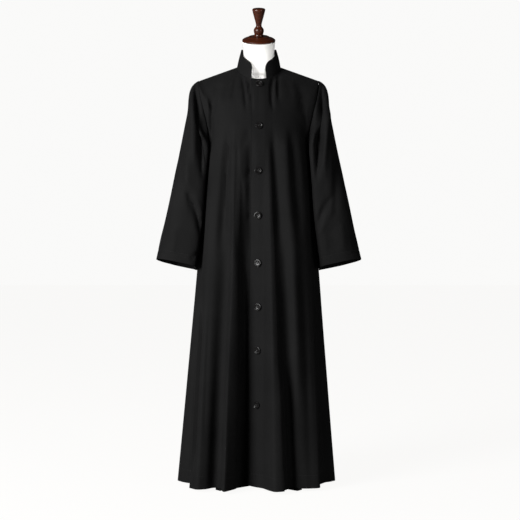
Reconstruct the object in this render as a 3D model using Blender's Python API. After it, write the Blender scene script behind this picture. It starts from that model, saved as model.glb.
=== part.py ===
"""A long black cassock, buttoned down the front, worn by a limbless dress form.

Metres, +Z up, the front of the garment toward -Y, +X the wearer's left.  The floor is z = 0 and the
pole of the dress form stands at x = 0, y = 0.
"""

import math

import bmesh
import bpy
import numpy as np
from mathutils import Vector
from mathutils.bvhtree import BVHTree

# Cloth
CLOTH = 0.0020
SEAM = 0.00022
OVERLAP_GAP = 0.0005
HEM_HEIGHT = 0.012
CHEST_HEIGHT = 1.200
COLUMN_STEP = 0.023
TOP_ROWS = 6
HANG_ROWS = 6

# The smooth outline of the cloth in plan, at the chest and at the hem
CHEST = {"half": 0.166, "front": 0.118, "back": 0.108, "power": 2.5, "shift": 0.0}
HEM = {"half": 0.271, "front": 0.160, "back": 0.165, "power": 2.7, "shift": -0.0075}

# One row for each fold line that runs down the cloth, going round from the centre back by the
# wearer's right side, the front and the wearer's left side.  "chest" and "hem" are directions in
# degrees from the centre front, "out" is how far the line stands out from the smooth hem, and
# "start" is how far down the skirt it starts, from 0 at the chest to 1 at the hem.
FOLD_LINES = (
    # name, chest, hem, out, start
    ("centre back seam", -180.0, -180.0, -0.006, 0.10),
    ("back ridge one", -172.0, -170.0, 0.026, 0.05),
    ("back valley one", -163.0, -160.0, -0.020, 0.12),
    ("back ridge two", -155.0, -149.0, 0.034, 0.05),
    ("back valley two", -145.0, -139.0, -0.026, 0.15),
    ("right back ridge", -128.0, -128.0, 0.026, 0.08),
    ("right back valley", -112.0, -116.0, -0.034, 0.15),
    ("right side back", -99.0, -101.0, -0.012, 0.05),
    ("right side", -90.0, -90.0, -0.002, 0.00),
    ("right side front", -86.0, -80.0, -0.015, 0.00),
    ("right side slope", -82.0, -72.0, -0.028, 0.00),
    ("right pleat side", -77.0, -62.0, -0.038, 0.00),
    ("right pleat depth", -72.0, -53.0, -0.034, 0.02),
    ("right pleat edge", -68.0, -45.2, 0.018, 0.02),
    ("right pleat face", -60.0, -39.0, 0.0265, 0.05),
    ("right panel", -52.0, -34.5, 0.014, 0.08),
    ("right wide valley", -37.0, -28.0, -0.0125, 0.02),
    ("right ridge foot", -31.0, -25.4, -0.010, 0.10),
    ("right ridge", -25.0, -20.9, 0.041, 0.05),
    ("right ridge slope", -20.5, -16.4, 0.000, 0.12),
    ("placket valley wall", -17.5, -12.2, -0.057, 0.15),
    ("placket valley", -13.6, -8.9, -0.087, 0.17),
    ("over edge", -8.5, -6.9, -0.0755, 0.16),
    ("button line", -0.6, -0.6, -0.042, 0.10),
    ("under edge", 5.2, 5.0, -0.019, 0.10),
    ("placket slope", 8.6, 9.2, 0.017, 0.06),
    ("left ridge", 11.2, 13.0, 0.038, 0.05),
    ("left ridge edge", 13.6, 16.4, 0.030, 0.06),
    ("left ridge foot", 16.0, 18.9, 0.003, 0.08),
    ("left valley", 19.0, 23.4, -0.012, 0.05),
    ("left slope", 25.0, 29.3, -0.006, 0.08),
    ("left wide ridge", 38.0, 35.5, 0.007, 0.06),
    ("left panel", 52.0, 39.5, 0.010, 0.05),
    ("left pleat edge", 68.0, 42.6, 0.009, 0.02),
    ("left pleat depth", 72.0, 51.0, -0.036, 0.02),
    ("left pleat side", 77.0, 62.0, -0.040, 0.00),
    ("left side slope", 82.0, 72.0, -0.036, 0.00),
    ("left side front", 86.0, 80.0, -0.018, 0.00),
    ("left side", 90.0, 90.0, -0.003, 0.00),
    ("left side back", 100.0, 102.0, -0.020, 0.08),
    ("left back valley", 114.0, 113.0, -0.030, 0.12),
    ("left back ridge", 128.0, 126.0, 0.030, 0.05),
    ("back valley three", 142.0, 139.0, -0.022, 0.15),
    ("back ridge three", 155.0, 151.0, 0.030, 0.06),
    ("back valley four", 167.0, 163.0, -0.018, 0.12),
    ("back ridge four", 174.0, 172.0, 0.014, 0.10),
    ("centre back seam again", 180.0, 180.0, -0.006, 0.10),
)
FOLD_GROWTH = 0.85

# Directions at the chest where the top edge of the cloth changes from neckline to shoulder seam
# to armhole, on either side
FRONT_NECK, FRONT_TIP, SIDE, BACK_TIP, BACK_NECK = 25.0, 52.0, 90.0, 128.0, 155.0

# Neckline and shoulder tip
NECK_HALF = 0.074
NECK_POINT_Y = 0.012
NECK_POINT_Z = 1.418
NECK_FRONT = 0.085
NECK_BACK = 0.055
NECK_SLOPE = 0.635
NECK_BACK_RISE = 0.007

# The left armhole seam: degrees round it from the shoulder tip by the front, and its place
ARMHOLE = (
    # round, out, y, height
    (0.0, 0.2030, 0.008, 1.371),
    (25.0, 0.2045, -0.020, 1.357),
    (50.0, 0.1995, -0.041, 1.321),
    (80.0, 0.1870, -0.055, 1.270),
    (110.0, 0.1755, -0.053, 1.224),
    (140.0, 0.1670, -0.041, 1.190),
    (162.0, 0.1625, -0.020, 1.172),
    (180.0, 0.1615, 0.000, 1.168),
    (198.0, 0.1630, 0.020, 1.173),
    (220.0, 0.1680, 0.039, 1.192),
    (250.0, 0.1780, 0.052, 1.228),
    (280.0, 0.1910, 0.054, 1.275),
    (310.0, 0.2010, 0.046, 1.322),
    (335.0, 0.2047, 0.0305, 1.357),
    (360.0, 0.2030, 0.008, 1.371),
)

# The way the cloth leaves its top edge, by direction at the chest, and where it starts to hang
LEAVING = (
    # chest, x, y, z, hangs from
    (0.0, 0.00, -0.50, -0.87, 1.200),
    (12.0, 0.08, -0.55, -0.83, 1.200),
    (25.0, 0.10, -0.85, -0.50, 1.198),
    (38.0, 0.00, -0.92, -0.39, 1.195),
    (52.0, -0.05, -0.85, -0.52, 1.185),
    (58.0, -0.35, -0.55, -0.75, 1.170),
    (68.0, -0.35, -0.15, -0.92, 1.140),
    (80.0, -0.16, -0.02, -1.00, 1.110),
    (90.0, 0.05, 0.00, -1.00, 1.085),
    (100.0, -0.04, -0.05, -1.00, 1.110),
    (112.0, -0.35, 0.15, -0.92, 1.140),
    (122.0, -0.35, 0.55, -0.75, 1.170),
    (128.0, -0.05, 0.85, -0.52, 1.185),
    (142.0, 0.00, 0.92, -0.39, 1.195),
    (155.0, 0.10, 0.85, -0.50, 1.198),
    (168.0, 0.08, 0.50, -0.86, 1.200),
    (180.0, 0.00, 0.42, -0.90, 1.200),
)
FRONT_SPREAD = 0.75
BACK_SPREAD = 0.65

# Rings down the left sleeve, each from its outer to its inner height
SLEEVE_RINGS = (
    # name, outer z, inner z, outer x, inner x, front y, back y, dent
    ("upper arm", 1.250, 1.105, 0.2445, 0.158, -0.086, 0.080, 0.0205),
    ("above elbow", 1.130, 1.015, 0.2700, 0.162, -0.086, 0.082, 0.0275),
    ("elbow", 1.000, 0.920, 0.2975, 0.168, -0.080, 0.080, 0.0305),
    ("forearm", 0.870, 0.825, 0.3250, 0.178, -0.073, 0.074, 0.0300),
    ("cuff", 0.762, 0.728, 0.3480, 0.191, -0.066, 0.066, 0.0260),
)
SLEEVE_POWER = 2.2
SLEEVE_FLATNESS = 4.0
CUFF_TILT = -0.12
CAP_ROWS = 5
SLEEVE_ROWS = 7

# Collar
COLLAR_HEIGHT = 0.0555
COLLAR_END = 20.0
COLLAR_CORNER = 0.016
COLLAR_TOP_HALF = 0.0602
COLLAR_TOP_FRONT = 0.074
COLLAR_TOP_BACK = 0.046
COLLAR_TOP_Y = 0.010
COLLAR_ROWS = 4

# Buttons: place across the over front and height, top to bottom
BUTTONS = (
    (0.0021, 1.3450),
    (0.0008, 1.2030),
    (-0.0015, 1.0546),
    (-0.0025, 0.9068),
    (-0.0028, 0.7498),
    (-0.0025, 0.6050),
    (-0.0041, 0.4620),
    (-0.0071, 0.2825),
)
BUTTON_PROFILE = (
    # radius, height above the back
    (0.0104, 0.0000),
    (0.0121, 0.0012),
    (0.0118, 0.0033),
    (0.0092, 0.0037),
    (0.0070, 0.0021),
)
BUTTON_SIDES = 12

# Dress form, from its base up
FORM_SECTIONS = (
    # height, half width, front, back, middle y, power, forward tilt
    (0.770, 0.060, 0.045, 0.045, 0.000, 2.2, 0.0),
    (0.776, 0.100, 0.070, 0.072, 0.000, 2.2, 0.0),
    (0.800, 0.128, 0.088, 0.092, 0.000, 2.3, 0.0),
    (0.880, 0.150, 0.098, 0.104, 0.000, 2.3, 0.0),
    (0.960, 0.142, 0.095, 0.096, 0.000, 2.3, 0.0),
    (1.040, 0.128, 0.090, 0.082, 0.000, 2.3, 0.0),
    (1.120, 0.136, 0.097, 0.084, 0.000, 2.3, 0.0),
    (1.200, 0.146, 0.102, 0.088, 0.000, 2.3, 0.0),
    (1.260, 0.157, 0.092, 0.088, 0.002, 2.2, 0.0),
    (1.310, 0.172, 0.072, 0.076, 0.006, 2.1, 0.0),
    (1.340, 0.180, 0.052, 0.060, 0.008, 1.9, 0.0),
    (1.362, 0.174, 0.034, 0.042, 0.010, 1.5, 0.0),
    (1.380, 0.130, 0.038, 0.042, 0.010, 1.3, 0.0),
    (1.396, 0.088, 0.046, 0.048, 0.008, 1.5, 4.0),
    (1.412, 0.0620, 0.048, 0.050, 0.006, 1.9, 6.0),
    (1.440, 0.0520, 0.047, 0.048, 0.003, 2.0, 10.0),
    (1.474, 0.0530, 0.051, 0.051, -0.004, 2.0, 16.0),
    (1.5005, 0.0560, 0.056, 0.056, -0.012, 2.0, 22.0),
)
FORM_SIDES = 32
CAP_TILT = 22.0
CAP_GAP = 0.0004
CAP_PROFILE = (
    (0.0535, 0.0000),
    (0.0562, 0.0026),
    (0.0558, 0.0058),
    (0.0500, 0.0096),
    (0.0380, 0.0136),
    (0.0345, 0.0164),
    (0.0315, 0.0170),
    (0.0280, 0.0156),
    (0.0190, 0.0166),
)
CAP_SIDES = 26
FINIAL_PROFILE = (
    (0.0150, 0.0000),
    (0.0158, 0.0030),
    (0.0150, 0.0085),
    (0.0160, 0.0130),
    (0.0172, 0.0190),
    (0.0155, 0.0262),
    (0.0110, 0.0315),
    (0.0094, 0.0360),
    (0.0100, 0.0415),
    (0.0158, 0.0643),
    (0.0218, 0.0886),
    (0.0212, 0.0917),
    (0.0120, 0.0940),
)
FINIAL_SIDES = 18

# Stand
POLE_RADIUS = 0.0125
POLE_TOP = 0.7696
HUB_HEIGHT = 0.026
HUB_PROFILE = (
    (0.0300, 0.0000),
    (0.0300, 0.0140),
    (0.0250, 0.0200),
    (0.0170, 0.0260),
)
LEG_DIRECTION = 40.0
LEG_START = 0.0304
LEG_REACH = 0.176
LEG_WIDTH = 0.024
LEG_HEIGHT = 0.008
LEG_BEVEL = 0.0015


def material(name, color, roughness, metallic=0.0):
    """A plain coloured surface."""
    made = bpy.data.materials.new(name)
    made.use_nodes = True
    shader = made.node_tree.nodes["Principled BSDF"]
    shader.inputs["Base Color"].default_value = (*color, 1.0)
    shader.inputs["Roughness"].default_value = roughness
    shader.inputs["Metallic"].default_value = metallic
    return made


def unit(vectors):
    """The same directions, one long."""
    return vectors / np.linalg.norm(vectors, axis=-1, keepdims=True)


def through(places, values, at):
    """A smooth curve through the values that never swings past them."""
    places = np.asarray(places, float)
    values = np.asarray(values, float)
    gaps = np.diff(places)
    rises = np.diff(values) / gaps
    slopes = np.zeros(len(places))
    turning = rises[1:] * rises[:-1] > 0
    before, after = gaps[:-1], gaps[1:]
    one = 2 * after + before
    two = after + 2 * before
    with np.errstate(divide="ignore", invalid="ignore"):
        middle = (one + two) / (one / rises[:-1] + two / rises[1:])
    slopes[1:-1] = np.where(turning, middle, 0.0)
    slopes[0], slopes[-1] = rises[0], rises[-1]
    spot = np.clip(np.searchsorted(places, at) - 1, 0, len(gaps) - 1)
    t = (at - places[spot]) / gaps[spot]
    return (
        values[spot] * (1 + 2 * t) * (1 - t) ** 2
        + slopes[spot] * gaps[spot] * t * (1 - t) ** 2
        + values[spot + 1] * t * t * (3 - 2 * t)
        + slopes[spot + 1] * gaps[spot] * t * t * (t - 1)
    )


def round_loop(places, values, at):
    """A smooth closed curve through the values of a loop, its first row repeated as its last."""
    places = np.asarray(places, float)
    values = np.asarray(values, float)
    length = places[-1] - places[0]
    long_places = np.concatenate([places[:-1] - length, places, places[1:] + length])
    long_values = np.concatenate([values[:-1], values, values[1:]])
    slopes = np.gradient(long_values, long_places)
    spot = np.clip(np.searchsorted(long_places, at) - 1, 1, len(long_places) - 3)
    gap = long_places[spot + 1] - long_places[spot]
    t = (at - long_places[spot]) / gap
    return (
        long_values[spot] * (1 + 2 * t) * (1 - t) ** 2
        + slopes[spot] * gap * t * (1 - t) ** 2
        + long_values[spot + 1] * t * t * (3 - 2 * t)
        + slopes[spot + 1] * gap * t * t * (t - 1)
    )


def outline(direction, shape):
    """A rounded-box outline in plan: its points and the ways out of it."""
    angle = np.radians(direction)
    sine, cosine = np.sin(angle), np.cos(angle)
    power = shape["power"]
    reach = (np.abs(sine) ** power + np.abs(cosine) ** power) ** (-1 / power)
    depth = np.where(cosine > 0, shape["front"], shape["back"])
    x = shape["half"] * reach * sine
    y = -depth * reach * cosine
    out_x = np.sign(x) * (np.abs(x) / shape["half"]) ** (power - 1) / shape["half"]
    out_y = np.sign(y) * (np.abs(y) / depth) ** (power - 1) / depth
    points = np.stack([x + shape["shift"], y], axis=-1)
    return points, unit(np.stack([out_x, out_y], axis=-1))


def neckline(turn):
    """The neckline seam; turn is in degrees from the centre front round by the left."""
    angle = np.radians(turn)
    x = NECK_HALF * np.sin(angle)
    depth = np.where(np.cos(angle) > 0, NECK_FRONT, NECK_BACK)
    y = NECK_POINT_Y - depth * np.cos(angle)
    ahead = (y - NECK_POINT_Y) * NECK_SLOPE
    behind = NECK_BACK_RISE * np.tanh(np.maximum(ahead, 0) / NECK_BACK_RISE)
    z = NECK_POINT_Z + np.where(ahead < 0, ahead, behind)
    return np.stack([x, y, z], axis=-1)


def armhole(turn):
    """The left armhole seam; turn is in degrees from the shoulder tip round by the front."""
    rows = np.array(ARMHOLE)
    return np.stack([round_loop(rows[:, 0], rows[:, k], turn) for k in (1, 2, 3)], axis=-1)


def armhole_turn(chest):
    """The place round the armhole of a column of cloth, from its direction at the chest."""
    front = np.clip((chest - FRONT_TIP) / (SIDE - FRONT_TIP), 0, 1) ** FRONT_SPREAD * 180.0
    back = np.clip((BACK_TIP - chest) / (BACK_TIP - SIDE), 0, 1) ** BACK_SPREAD * 180.0
    return np.where(chest <= SIDE, front, 360.0 - back)


def neck_turn(chest):
    """The place round the neckline of a column of cloth, from its direction at the chest."""
    front = 90.0 * np.clip(chest / FRONT_NECK, 0, 1) ** 1.5
    back = 180.0 - 90.0 * np.clip((180.0 - chest) / (180.0 - BACK_NECK), 0, 1)
    return np.where(chest <= SIDE, front, back)


def neck_inward(turn):
    """Into the wall at the neckline: to the middle of the neck and a little down."""
    here = neckline(turn)
    middle = np.array([0.0, 0.004, 0.0])
    level = (middle - here) * np.array([1.0, 1.0, 0.0])
    return unit(unit(level) + np.array([0.0, 0.0, -0.25]))


def top_edge(chest):
    """The top edge of the cloth on the left half, and the ways into its wall off the armhole."""
    tip = armhole(np.array([0.0]))[0]
    neck_point = neckline(np.array([90.0]))[0]
    rise = np.clip((chest - FRONT_NECK) / (FRONT_TIP - FRONT_NECK), 0, 1)
    fall = np.clip((BACK_NECK - chest) / (BACK_NECK - BACK_TIP), 0, 1)
    along = np.where(chest <= SIDE, rise, fall)[:, None]
    shoulder = neck_point + (tip - neck_point) * along
    ridge = unit(tip - neck_point)
    under = unit(np.cross(ridge, np.array([0.0, -1.0, 0.0])))
    under = under if under[2] < 0 else -under
    at_neck = (chest <= FRONT_NECK) | (chest >= BACK_NECK)
    at_arm = (chest >= FRONT_TIP) & (chest <= BACK_TIP)
    points = np.where(at_arm[:, None], armhole(armhole_turn(chest)), shoulder)
    points = np.where(at_neck[:, None], neckline(neck_turn(chest)), points)
    into = np.where(at_neck[:, None], neck_inward(neck_turn(chest)), under)
    return points, into


def skirt(place, table):
    """Chest direction, hem direction, reach and start of the column at a place round the hem."""
    return [through(table["place"], table[key], place) for key in ("chest", "hem", "out", "start")]


def fold_table():
    """The fold lines, with the place of each one along the folded hem, zero at the over edge."""
    rows = [row[1:] for row in FOLD_LINES]
    table = dict(zip(("chest", "hem", "out", "start"), np.array(rows).T))
    points, away = outline(table["hem"], HEM)
    points = points + away * table["out"][:, None]
    steps = np.linalg.norm(np.diff(points, axis=0), axis=1)
    table["place"] = np.concatenate([[0.0], np.cumsum(steps)])
    names = [row[0] for row in FOLD_LINES]
    table["place"] -= table["place"][names.index("over edge")]
    table["at"] = dict(zip(names, table["place"]))
    table["round"] = table["place"][-1] - table["place"][0]
    return table


def cloth(place, top_rows, hang_rows, table, lift=0.0, finish=True):
    """The outer face of the body of the garment, a grid of rows from the top edge to the hem.

    Each column leaves the top edge along its own slope on a cubic curve, meets the smooth chest
    outline, and hangs straight from there to the hem, while its fold grows outward or inward.
    """
    chest, hem, out, start = skirt(place, table)
    side = np.where(chest < 0, -1.0, 1.0)
    round_chest = np.abs(chest)
    leave_rows = np.array(LEAVING)
    leave = [np.interp(round_chest, leave_rows[:, 0], leave_rows[:, k]) for k in (1, 2, 3, 4)]
    leaving = unit(np.stack(leave[:3], axis=-1))
    top, into = top_edge(round_chest)
    off_arm = (round_chest < FRONT_TIP + 0.1) | (round_chest > BACK_TIP - 0.1)
    top = np.where(off_arm[:, None], top + leaving * SEAM, top)
    flip = np.stack([side, np.ones_like(side), np.ones_like(side)], axis=-1)
    top, into, leaving = top * flip, into * flip, leaving * flip

    chest_points, _ = outline(chest, CHEST)
    hem_points, away = outline(hem, HEM)
    drop = CHEST_HEIGHT - HEM_HEIGHT

    def hanging(down):
        grown = np.clip((down - start) / (1 - start), 0, None) ** FOLD_GROWTH
        flat = chest_points + (hem_points - chest_points) * down[..., None]
        flat = flat + away * (out * grown)[..., None]
        height = CHEST_HEIGHT - drop * down
        return np.concatenate([flat, height[..., None]], axis=-1)

    join = (CHEST_HEIGHT - leave[3]) / drop
    joint = hanging(join)
    downward = unit(hanging(join + 0.01) - joint)
    length = np.linalg.norm(joint - top, axis=1)[:, None]
    controls = (top, top + leaving * length * 0.38, joint - downward * length * 0.38, joint)
    rows = []
    for t in np.linspace(0.0, 1.0, top_rows + 1):
        weights = ((1 - t) ** 3, 3 * t * (1 - t) ** 2, 3 * t * t * (1 - t), t ** 3)
        rows.append(sum(w * c for w, c in zip(weights, controls)))
    for t in np.linspace(0.0, 1.0, hang_rows + 1)[1:]:
        rows.append(hanging(join + (1.0 - join) * t))
    grid = np.array(rows)
    if not finish:
        return grid, None
    inward = -facing(grid)
    for end in (0, -1):
        near = np.array([place[end] - 0.002, place[end] + 0.002])
        near = np.where(near < table["place"][0], near + table["round"], near)
        near = np.where(near > table["place"][-1], near - table["round"], near)
        beside, _ = cloth(near, top_rows, hang_rows, table, finish=False)
        across = beside[:, 1] - beside[:, 0]
        inward[:, end] = -unit(np.cross(np.gradient(grid[:, end], axis=0), across))
    beneath = (round_chest > FRONT_TIP + 0.1) & (round_chest < BACK_TIP - 0.1)
    inward[0] = np.where(beneath[:, None], inward[0], into)
    if np.any(lift):
        grid = grid - inward * (lift * np.ones(len(place)))[None, :, None]
    return grid, inward


def facing(grid, closed=False):
    """The way out of a grid of points whose rows go down and whose columns go to the left."""
    if closed:
        across = np.roll(grid, -1, axis=1) - np.roll(grid, 1, axis=1)
    else:
        across = np.gradient(grid, axis=1)
    down = np.gradient(grid, axis=0)
    return unit(np.cross(down, across))


def columns(first, last, table, extra=()):
    """Places for columns between two places, each fold line and a few between them."""
    marks = [first, last, *extra]
    marks += [p for p in table["place"] if first < p < last]
    marks = np.array(sorted(marks))
    keep = np.concatenate([[True], np.diff(marks) > 0.0012])
    keep[-1] = True
    if marks[-1] - marks[-2] <= 0.0012:
        keep[-2] = False
    marks = marks[keep]
    places = [marks[0]]
    for one, two in zip(marks[:-1], marks[1:]):
        count = max(1, int(round((two - one) / COLUMN_STEP)))
        places += list(np.linspace(one, two, count + 1)[1:])
    return np.array(places)


def wall(name, outer, inward, thickness, surface, closed=False):
    """A closed solid: a grid of outer points, the same grid moved into the wall, and the edges."""
    inner = outer + inward * thickness
    rows, wide = outer.shape[:2]
    points = np.concatenate([outer.reshape(-1, 3), inner.reshape(-1, 3)])
    second = rows * wide

    def spot(row, column, side):
        return side * second + row * wide + column % wide

    faces = []
    last = wide if closed else wide - 1
    for row in range(rows - 1):
        for column in range(last):
            a, b = spot(row, column, 0), spot(row, column + 1, 0)
            c, d = spot(row + 1, column + 1, 0), spot(row + 1, column, 0)
            faces.append((a, d, c))
            faces.append((a, c, b))
            faces.append((c + second, d + second, a + second))
            faces.append((b + second, c + second, a + second))
    for column in range(last):
        a, b = spot(0, column, 0), spot(0, column + 1, 0)
        faces.append((a, b, b + second, a + second))
        a, b = spot(rows - 1, column, 0), spot(rows - 1, column + 1, 0)
        faces.append((b, a, a + second, b + second))
    if not closed:
        for row in range(rows - 1):
            a, b = spot(row, 0, 0), spot(row + 1, 0, 0)
            faces.append((b, a, a + second, b + second))
            a, b = spot(row, wide - 1, 0), spot(row + 1, wide - 1, 0)
            faces.append((a, b, b + second, a + second))
    return solid(name, points, faces, surface, smooth=True)


def solid(name, points, faces, surface, smooth=False, sharp=35.0):
    """A mesh object from points and faces, turned the right way out."""
    mesh = bpy.data.meshes.new(name)
    mesh.from_pydata([tuple(p) for p in points], [], faces)
    shaped = bmesh.new()
    shaped.from_mesh(mesh)
    if shaped.calc_volume(signed=True) < 0:
        bmesh.ops.reverse_faces(shaped, faces=shaped.faces)
    shaped.to_mesh(mesh)
    shaped.free()
    mesh.materials.append(surface)
    if smooth:
        mesh.shade_smooth()
        mesh.set_sharp_from_angle(angle=math.radians(sharp))
    made = bpy.data.objects.new(name, mesh)
    bpy.context.scene.collection.objects.link(made)
    return made


def lathe(name, profile, sides, surface, origin=(0, 0, 0), axis=(0, 0, 1)):
    """A turned solid: a profile of radius and height about an axis, closed flat at both ends."""
    axis = unit(np.array(axis, float))
    helper = np.array([1.0, 0.0, 0.0]) if abs(axis[0]) < 0.8 else np.array([0.0, 1.0, 0.0])
    one = unit(np.cross(axis, helper))
    two = np.cross(axis, one)
    turn = np.arange(sides) * 2 * math.pi / sides
    ring = np.cos(turn)[:, None] * one + np.sin(turn)[:, None] * two
    points = [ring * radius + axis * height for radius, height in profile]
    points = np.concatenate(points) + np.array(origin, float)
    faces = []
    for row in range(len(profile) - 1):
        for side in range(sides):
            a, b = row * sides + side, row * sides + (side + 1) % sides
            faces.append((a, b, b + sides, a + sides))
    faces.append(tuple(range(sides - 1, -1, -1)))
    faces.append(tuple(range((len(profile) - 1) * sides, len(profile) * sides)))
    return solid(name, points, faces, surface, smooth=True)


for leftover in list(bpy.data.objects):
    bpy.data.objects.remove(leftover, do_unlink=True)

black_cloth = material("black_wool_twill", (0.012, 0.012, 0.013), 0.8)
black_button = material("black_button", (0.010, 0.010, 0.010), 0.25)
form_cover = material("cream_form_cover", (0.80, 0.78, 0.73), 0.9)
dark_wood = material("dark_turned_wood", (0.06, 0.02, 0.012), 0.25)
stand_metal = material("black_stand_metal", (0.03, 0.03, 0.03), 0.45, 1.0)

# ---------------------------------------------------------------------------------------------
# Body of the garment: two fronts and two backs, hung from the neckline, shoulders and armholes
folds = fold_table()
mark = folds["at"]
EDGE_GAP = 0.0006

right_side = mark["right side"]
left_side = mark["left side"]
back_start = mark["centre back seam"]
back_end = mark["centre back seam again"]


def places_at(directions):
    """Where the columns with these directions at the chest stand round the hem."""
    return np.interp(directions, folds["chest"], folds["place"])


# More columns where the collar turns down to its front ends, and round the armholes
collar_turns = np.array([20.0, 27.0, 36.0, 48.0, 62.0])
collar_directions = FRONT_NECK * (collar_turns / 90.0) ** (1 / 1.5)
arm_turns = np.array([16.0, 33.0, 50.0, 68.0, 86.0, 104.0, 122.0, 142.0, 162.0])
front_arm = FRONT_TIP + (SIDE - FRONT_TIP) * (arm_turns / 180.0) ** (1 / FRONT_SPREAD)
back_extra = BACK_TIP - (BACK_TIP - SIDE) * (arm_turns / 180.0) ** (1 / BACK_SPREAD)
front_extra = np.concatenate([collar_directions, front_arm])
back_right_columns = columns(
    back_start + EDGE_GAP, right_side - EDGE_GAP, folds, places_at(-back_extra)
)
front_right_columns = columns(
    right_side + EDGE_GAP, mark["under edge"], folds, places_at(-front_extra)
)
front_left_columns = columns(
    mark["over edge"], left_side - EDGE_GAP, folds, places_at(front_extra)
)
back_left_columns = columns(
    left_side + EDGE_GAP, back_end - EDGE_GAP, folds, places_at(back_extra)
)


def over_lift(place):
    """How far the over front stands off the smooth front, where the under front lies behind it."""
    end = mark["placket slope"]
    start = mark["under edge"] + 0.004
    ease = np.clip((place - start) / (end + 0.012 - start), 0, 1)
    ease = 1 - ease * ease * (3 - 2 * ease)
    return (CLOTH + OVERLAP_GAP) * ease


panels = {}
for panel_name, panel_columns, lifted in (
    ("back_right", back_right_columns, False),
    ("front_right", front_right_columns, False),
    ("front_left", front_left_columns, True),
    ("back_left", back_left_columns, False),
):
    raised = over_lift(panel_columns) if lifted else 0.0
    grid, inward = cloth(panel_columns, TOP_ROWS, HANG_ROWS, folds, raised)
    panels[panel_name] = {"places": panel_columns, "grid": grid, "inward": inward}

# ---------------------------------------------------------------------------------------------
# Sleeves: closed tubes set into the armholes, widening to open cuffs


def sleeve_ring(row, turn):
    """One level ring of the left sleeve, flattened on the side that hangs against the body."""
    _, outer_z, inner_z, outer_x, inner_x, front_y, back_y, dent = row
    angle = np.radians(turn)
    cosine, sine = np.cos(angle), np.sin(angle)
    power = 2 / SLEEVE_POWER
    middle = (outer_x + inner_x) / 2
    half = (outer_x - inner_x) / 2
    middle_y = (front_y + back_y) / 2
    depth = (back_y - front_y) / 2
    flat_side = -np.abs(cosine) ** (2 / SLEEVE_FLATNESS)
    level = np.where(cosine < 0, flat_side, np.abs(cosine) ** power)
    x = middle + half * level + dent * np.clip(-cosine, 0, 1) ** 4
    y = middle_y - depth * np.sign(sine) * np.abs(sine) ** power
    z = inner_z + (outer_z - inner_z) * (level + 1) / 2
    return np.stack([x, y, z], axis=-1)


def sleeve(turn, cap_rows, rows):
    """The outer face of the left sleeve, from the armhole seam to the cuff."""
    top = armhole(turn)
    angle = np.radians(turn)
    under = np.clip(-np.cos(angle), 0, 1)
    leave = np.stack([
        0.85 + 0.10 * np.abs(np.cos(angle)) - 0.68 * under,
        -0.50 * np.sin(angle),
        -0.24 - 0.13 * np.cos(angle) - 1.05 * under,
    ], axis=-1)
    leave = unit(leave)
    rings = np.array([sleeve_ring(row, turn) for row in SLEEVE_RINGS])
    rings[-1, :, 2] += CUFF_TILT * rings[-1, :, 1]
    rings[-2, :, 2] += 0.5 * CUFF_TILT * rings[-2, :, 1]
    spots = np.linspace(0.0, 1.0, len(SLEEVE_RINGS))
    slope = np.gradient(rings, spots, axis=0)[0]
    length = np.linalg.norm(rings[0] - top, axis=1)[:, None]
    controls = (top, top + leave * length * 0.36, rings[0] - unit(slope) * length * 0.40, rings[0])
    grid = []
    for t in np.linspace(0.0, 1.0, cap_rows + 1):
        weights = ((1 - t) ** 3, 3 * t * (1 - t) ** 2, 3 * t * t * (1 - t), t ** 3)
        grid.append(sum(w * c for w, c in zip(weights, controls)))
    for t in np.linspace(0.0, 1.0, rows + 1)[1:]:
        spot = min(int(t * (len(spots) - 1)), len(spots) - 2)
        part = t * (len(spots) - 1) - spot
        grid.append(rings[spot] * (1 - part) + rings[spot + 1] * part)
    grid = np.array(grid)
    return grid, facing(grid, closed=True)


def set_in(front, back, flip):
    """Sew a sleeve to its two panels: one shared slant for both walls, a hair apart."""
    arms = []
    for name in (front, back):
        panel = panels[name]
        chest = np.abs(skirt(panel["places"], folds)[0])
        at = np.flatnonzero((chest > FRONT_TIP - 0.01) & (chest < BACK_TIP + 0.01))
        arms += [(armhole_turn(chest[k]) % 360.0, name, k) for k in at]
    arms.sort()
    turns = np.array([float(arm[0]) for arm in arms])
    keep = np.concatenate([[True], np.diff(turns) > 1.5])
    grid, inward = sleeve(turns[keep], CAP_ROWS, SLEEVE_ROWS)
    grid, inward = grid * flip, inward * flip
    rim = grid[0].copy()
    along = unit(np.roll(rim, -1, axis=0) - np.roll(rim, 1, axis=0))
    body_in = np.array([panels[arm[1]]["inward"][0, arm[2]] for arm in arms])
    slant = unit(body_in[keep] + inward[0])
    slant = unit(slant - along * np.sum(slant * along, axis=1, keepdims=True))
    across = unit(np.cross(along, slant))
    across = np.where(across[:, :1] * flip[0] < 0, -across, across)
    longer = 1 / np.clip(np.sum(slant * inward[0], axis=1, keepdims=True), 0.6, 1.0)
    grid[0] = rim + across * SEAM
    inward[0] = slant * longer
    order = np.cumsum(keep) - 1
    for (_, name, column), spot in zip(arms, order):
        panels[name]["grid"][0, column] -= across[spot] * SEAM
        panels[name]["inward"][0, column] = slant[spot] * longer[spot]
    return grid, inward


RIGHT_WAY = np.array([1.0, 1.0, 1.0])
OTHER_WAY = np.array([-1.0, 1.0, 1.0])
for sleeve_name, front, back, flip in (
    ("sleeve_left", "front_left", "back_left", RIGHT_WAY),
    ("sleeve_right", "front_right", "back_right", OTHER_WAY),
):
    grid, inward = set_in(front, back, flip)
    wall(sleeve_name, grid, inward, CLOTH, black_cloth, closed=True)
for panel_name, panel in panels.items():
    wall(panel_name, panel["grid"], panel["inward"], CLOTH, black_cloth)

# ---------------------------------------------------------------------------------------------
# Standing collar: one band round the neckline with two rounded front ends


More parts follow.
